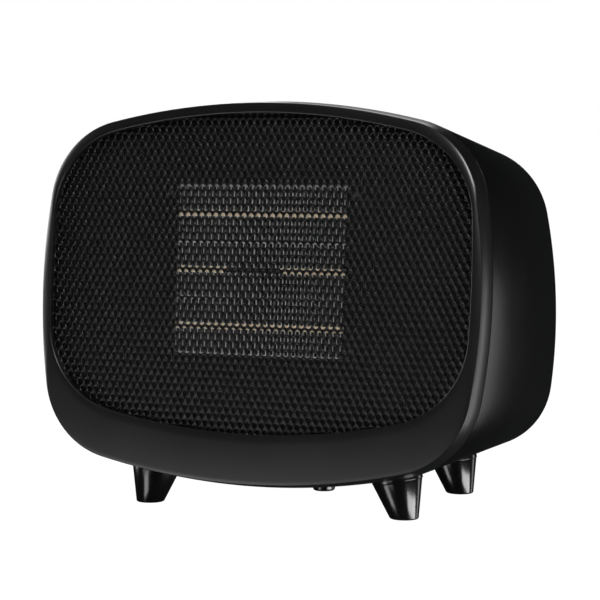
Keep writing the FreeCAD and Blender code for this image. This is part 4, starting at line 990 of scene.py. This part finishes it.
def make_cover_screws():
    """Pan heads with a cross recess over plain shanks."""
    point = 1.4
    head_height = 2.0
    recess = (3.4, 2.4, 0.8)
    seat = -COVER_RECESS
    start = seat - COVER_THICKNESS - SCREW_DEPTH
    profile = [
        (0, start),
        (0.4, start),
        (SCREW_RADIUS, start + point),
        (SCREW_RADIUS, seat),
        (SCREW_HEAD, seat),
        (SCREW_HEAD, seat + 0.45 * head_height),
        (SCREW_HEAD * 0.86, seat + 0.75 * head_height),
        (SCREW_HEAD * 0.55, seat + 0.95 * head_height),
        (0, seat + head_height),
    ]
    bm = bmesh.new()
    tools = bmesh.new()
    for across, rise in BOSS_SPOTS:
        spot = Matrix.Translation((across, 0, rise))
        lathe(bm, profile, spot @ ALONG_Y, 32)
        top = Matrix.Translation((across, seat + head_height, rise))
        for turn in (45, 135):
            block(tools, recess, top @ Matrix.Rotation(math.radians(turn), 4, "Y"))
    carved = carve(bm, tools, crossing=True)
    make_piece(
        "cover_pan_screws", carved, REAR, DARK_STEEL, replaces=["cover_screws"]
    )


# ---------------------------------------------------------------- knobs on the rear cover
def make_knob(name, body):
    """A round skirt with fine ribs, a finger bar across it and a pale pointer."""
    skirt_height = 5.0
    ribs = 36
    rib = (0.9, 0.8, 3.2)
    bar_width = 6.4
    bar_inset = 4.4
    pointer_size = (1.2, 7.0, 0.5)
    bm = bmesh.new()
    skirt = [
        (0, 0),
        (KNOB_RADIUS - 0.6, 0),
        (KNOB_RADIUS - 0.2, 0.4),
        (KNOB_RADIUS - 0.5, skirt_height - 0.8),
        (KNOB_RADIUS - 1.1, skirt_height - 0.1),
        (KNOB_RADIUS - 2.2, skirt_height),
        (0, skirt_height),
    ]
    lathe(bm, skirt, steps=72)
    for count in range(ribs):
        turn = Matrix.Rotation(math.tau * count / ribs, 4, "Z")
        block(bm, rib, turn @ Matrix.Translation((KNOB_RADIUS - rib[0] / 2, 0, 2.3)), 0.25, 1)
    bar = Matrix.Translation((0, 0, KNOB_LENGTH / 2))
    block(bm, (bar_width, 2 * KNOB_RADIUS - bar_inset, KNOB_LENGTH), bar, 1.4, 4)
    pointer_start = len(bm.faces)
    pointer = Matrix.Translation((0, 7.5 - KNOB_RADIUS, KNOB_LENGTH))
    block(bm, pointer_size, pointer, 0.15, 1)
    bm.faces.ensure_lookup_table()
    for face in bm.faces[pointer_start:]:
        face.material_index = 1
    spot = Matrix.Translation((KNOB_SIDE, -COVER_RECESS + KNOB_STANDOFF, KNOB_RISES[name]))
    knob = make_piece(
        name + "_dial",
        bm,
        REAR @ spot @ ALONG_Y,
        KNOB_BLACK,
        body,
        replaces=[name + "_knob"],
        crease=40.0,
    )
    knob.data.materials.append(PALE_MARK)


# ---------------------------------------------------------------- studio
def make_studio():
    """A dim surround that the camera sees as white, and a pale floor that melts into it."""
    scene = bpy.context.scene
    world = bpy.data.worlds.new("studio")
    scene.world = world
    world.use_nodes = True
    tree = world.node_tree
    surround = tree.nodes["Background"]
    surround.inputs["Color"].default_value = (0.9, 0.95, 1.0, 1.0)
    surround.inputs["Strength"].default_value = 0.018
    paper = tree.nodes.new("ShaderNodeBackground")
    paper.inputs["Color"].default_value = (1.0, 1.0, 1.0, 1.0)
    seen = tree.nodes.new("ShaderNodeLightPath")
    choice = tree.nodes.new("ShaderNodeMixShader")
    tree.links.new(seen.outputs["Is Camera Ray"], choice.inputs[0])
    tree.links.new(surround.outputs[0], choice.inputs[1])
    tree.links.new(paper.outputs[0], choice.inputs[2])
    tree.links.new(choice.outputs[0], tree.nodes["World Output"].inputs[0])
    scene.view_settings.view_transform = "Standard"

    bm = bmesh.new()
    bmesh.ops.create_grid(bm, x_segments=1, y_segments=1, size=12.0)
    mesh = bpy.data.meshes.new("floor")
    bm.to_mesh(mesh)
    bm.free()
    floor = bpy.data.objects.new("floor", mesh)
    scene.collection.objects.link(floor)
    floor.visible_glossy = False
    floor.visible_shadow = False
    paint = Finish("pale_floor")
    cloud = paint.noise(0.3)
    paint.set(
        Base_Color=paint.blend(cloud, (0.80, 0.80, 0.80), (0.84, 0.84, 0.84)),
        Roughness=0.7 + cloud * 0.1,
    )
    glow = paint.tree.nodes.new("ShaderNodeEmission")
    glow.inputs["Color"].default_value = (1.0, 1.0, 1.0, 1.0)
    glow.inputs["Strength"].default_value = 1.12
    seen = paint.node("LightPath", output="Is Camera Ray")
    merge = paint.tree.nodes.new("ShaderNodeMixShader")
    paint.feed(merge.inputs[0], seen * 0.9)
    paint.tree.links.new(paint.shader.outputs[0], merge.inputs[1])
    paint.tree.links.new(glow.outputs[0], merge.inputs[2])
    paint.tree.links.new(merge.outputs[0], paint.tree.nodes["Material Output"].inputs[0])
    mesh.materials.append(paint.material)


def direction(azimuth, elevation):
    """A unit vector from the heater, by angles in degrees from straight ahead of its face."""
    turn, lift = math.radians(azimuth), math.radians(elevation)
    return Vector(
        (math.sin(turn) * math.cos(lift), -math.cos(turn) * math.cos(lift), math.sin(lift))
    )


def soft_box(name, azimuth, elevation, distance, size, strength):
    """A square lamp at an angle round the heater, aimed at its middle."""
    lamp = bpy.data.lights.new(name, "AREA")
    lamp.shape = "RECTANGLE"
    lamp.size, lamp.size_y = size
    lamp.energy = strength
    item = bpy.data.objects.new(name, lamp)
    bpy.context.scene.collection.objects.link(item)
    back = direction(azimuth, elevation)
    item.location = back * distance + Vector((0, 0, FACE_HEIGHT * MM))
    item.rotation_euler = (-back).to_track_quat("-Z", "Y").to_euler()
    item.visible_camera = False


# name, angle round the heater and height in degrees, distance and size in metres, watts
LAMPS = [
    ("left_box", -80.0, 10.0, 1.4, (0.55, 1.0), 12.0),
    ("left_low", -29.0, -35.0, 0.7, (0.20, 0.26), 0.8),
    ("front_key", 35.0, 32.0, 1.5, (0.4, 0.4), 15.0),
    ("front_low", -22.0, -17.0, 1.2, (0.9, 0.22), 1.15),
    ("foot_light", 84.0, -26.0, 0.8, (0.66, 0.24), 6.0),
    ("band_light", 136.0, -16.0, 1.3, (0.26, 0.7), 1.3),
    ("back_top", -150.0, 34.0, 1.6, (1.2, 0.6), 4.5),
    ("back_fill", -142.0, 6.0, 1.6, (0.8, 0.8), 6.0),
    ("top_box", 10.0, 75.0, 1.6, (1.2, 1.2), 4.0),
]


def make_lights():
    for lamp in LAMPS:
        soft_box(*lamp)


def make_camera():
    """A long lens to the right of the heater and a little above it."""
    distance = 1.161
    back = direction(22.43, 4.21)
    target = Vector((0.0265, -MIDDLE * MM, FACE_HEIGHT * MM - 0.00275))
    lens = bpy.data.cameras.new("camera")
    lens.lens = 134.2
    lens.sensor_width = 36.0
    camera = bpy.data.objects.new("camera", lens)
    bpy.context.scene.collection.objects.link(camera)
    camera.location = target + back * distance
    camera.rotation_mode = "QUATERNION"
    camera.rotation_quaternion = (-back).to_track_quat("-Z", "Y")
    bpy.context.scene.camera = camera


# ---------------------------------------------------------------- the heater
dress_nodes()
make_bezel()
make_grille()
make_housing()
make_feet()
make_plunger()
make_cover()
make_cover_screws()
make_knob("mode", "mode_dial")
make_knob("thermostat", "thermostat_dial")
make_studio()
make_lights()
make_camera()
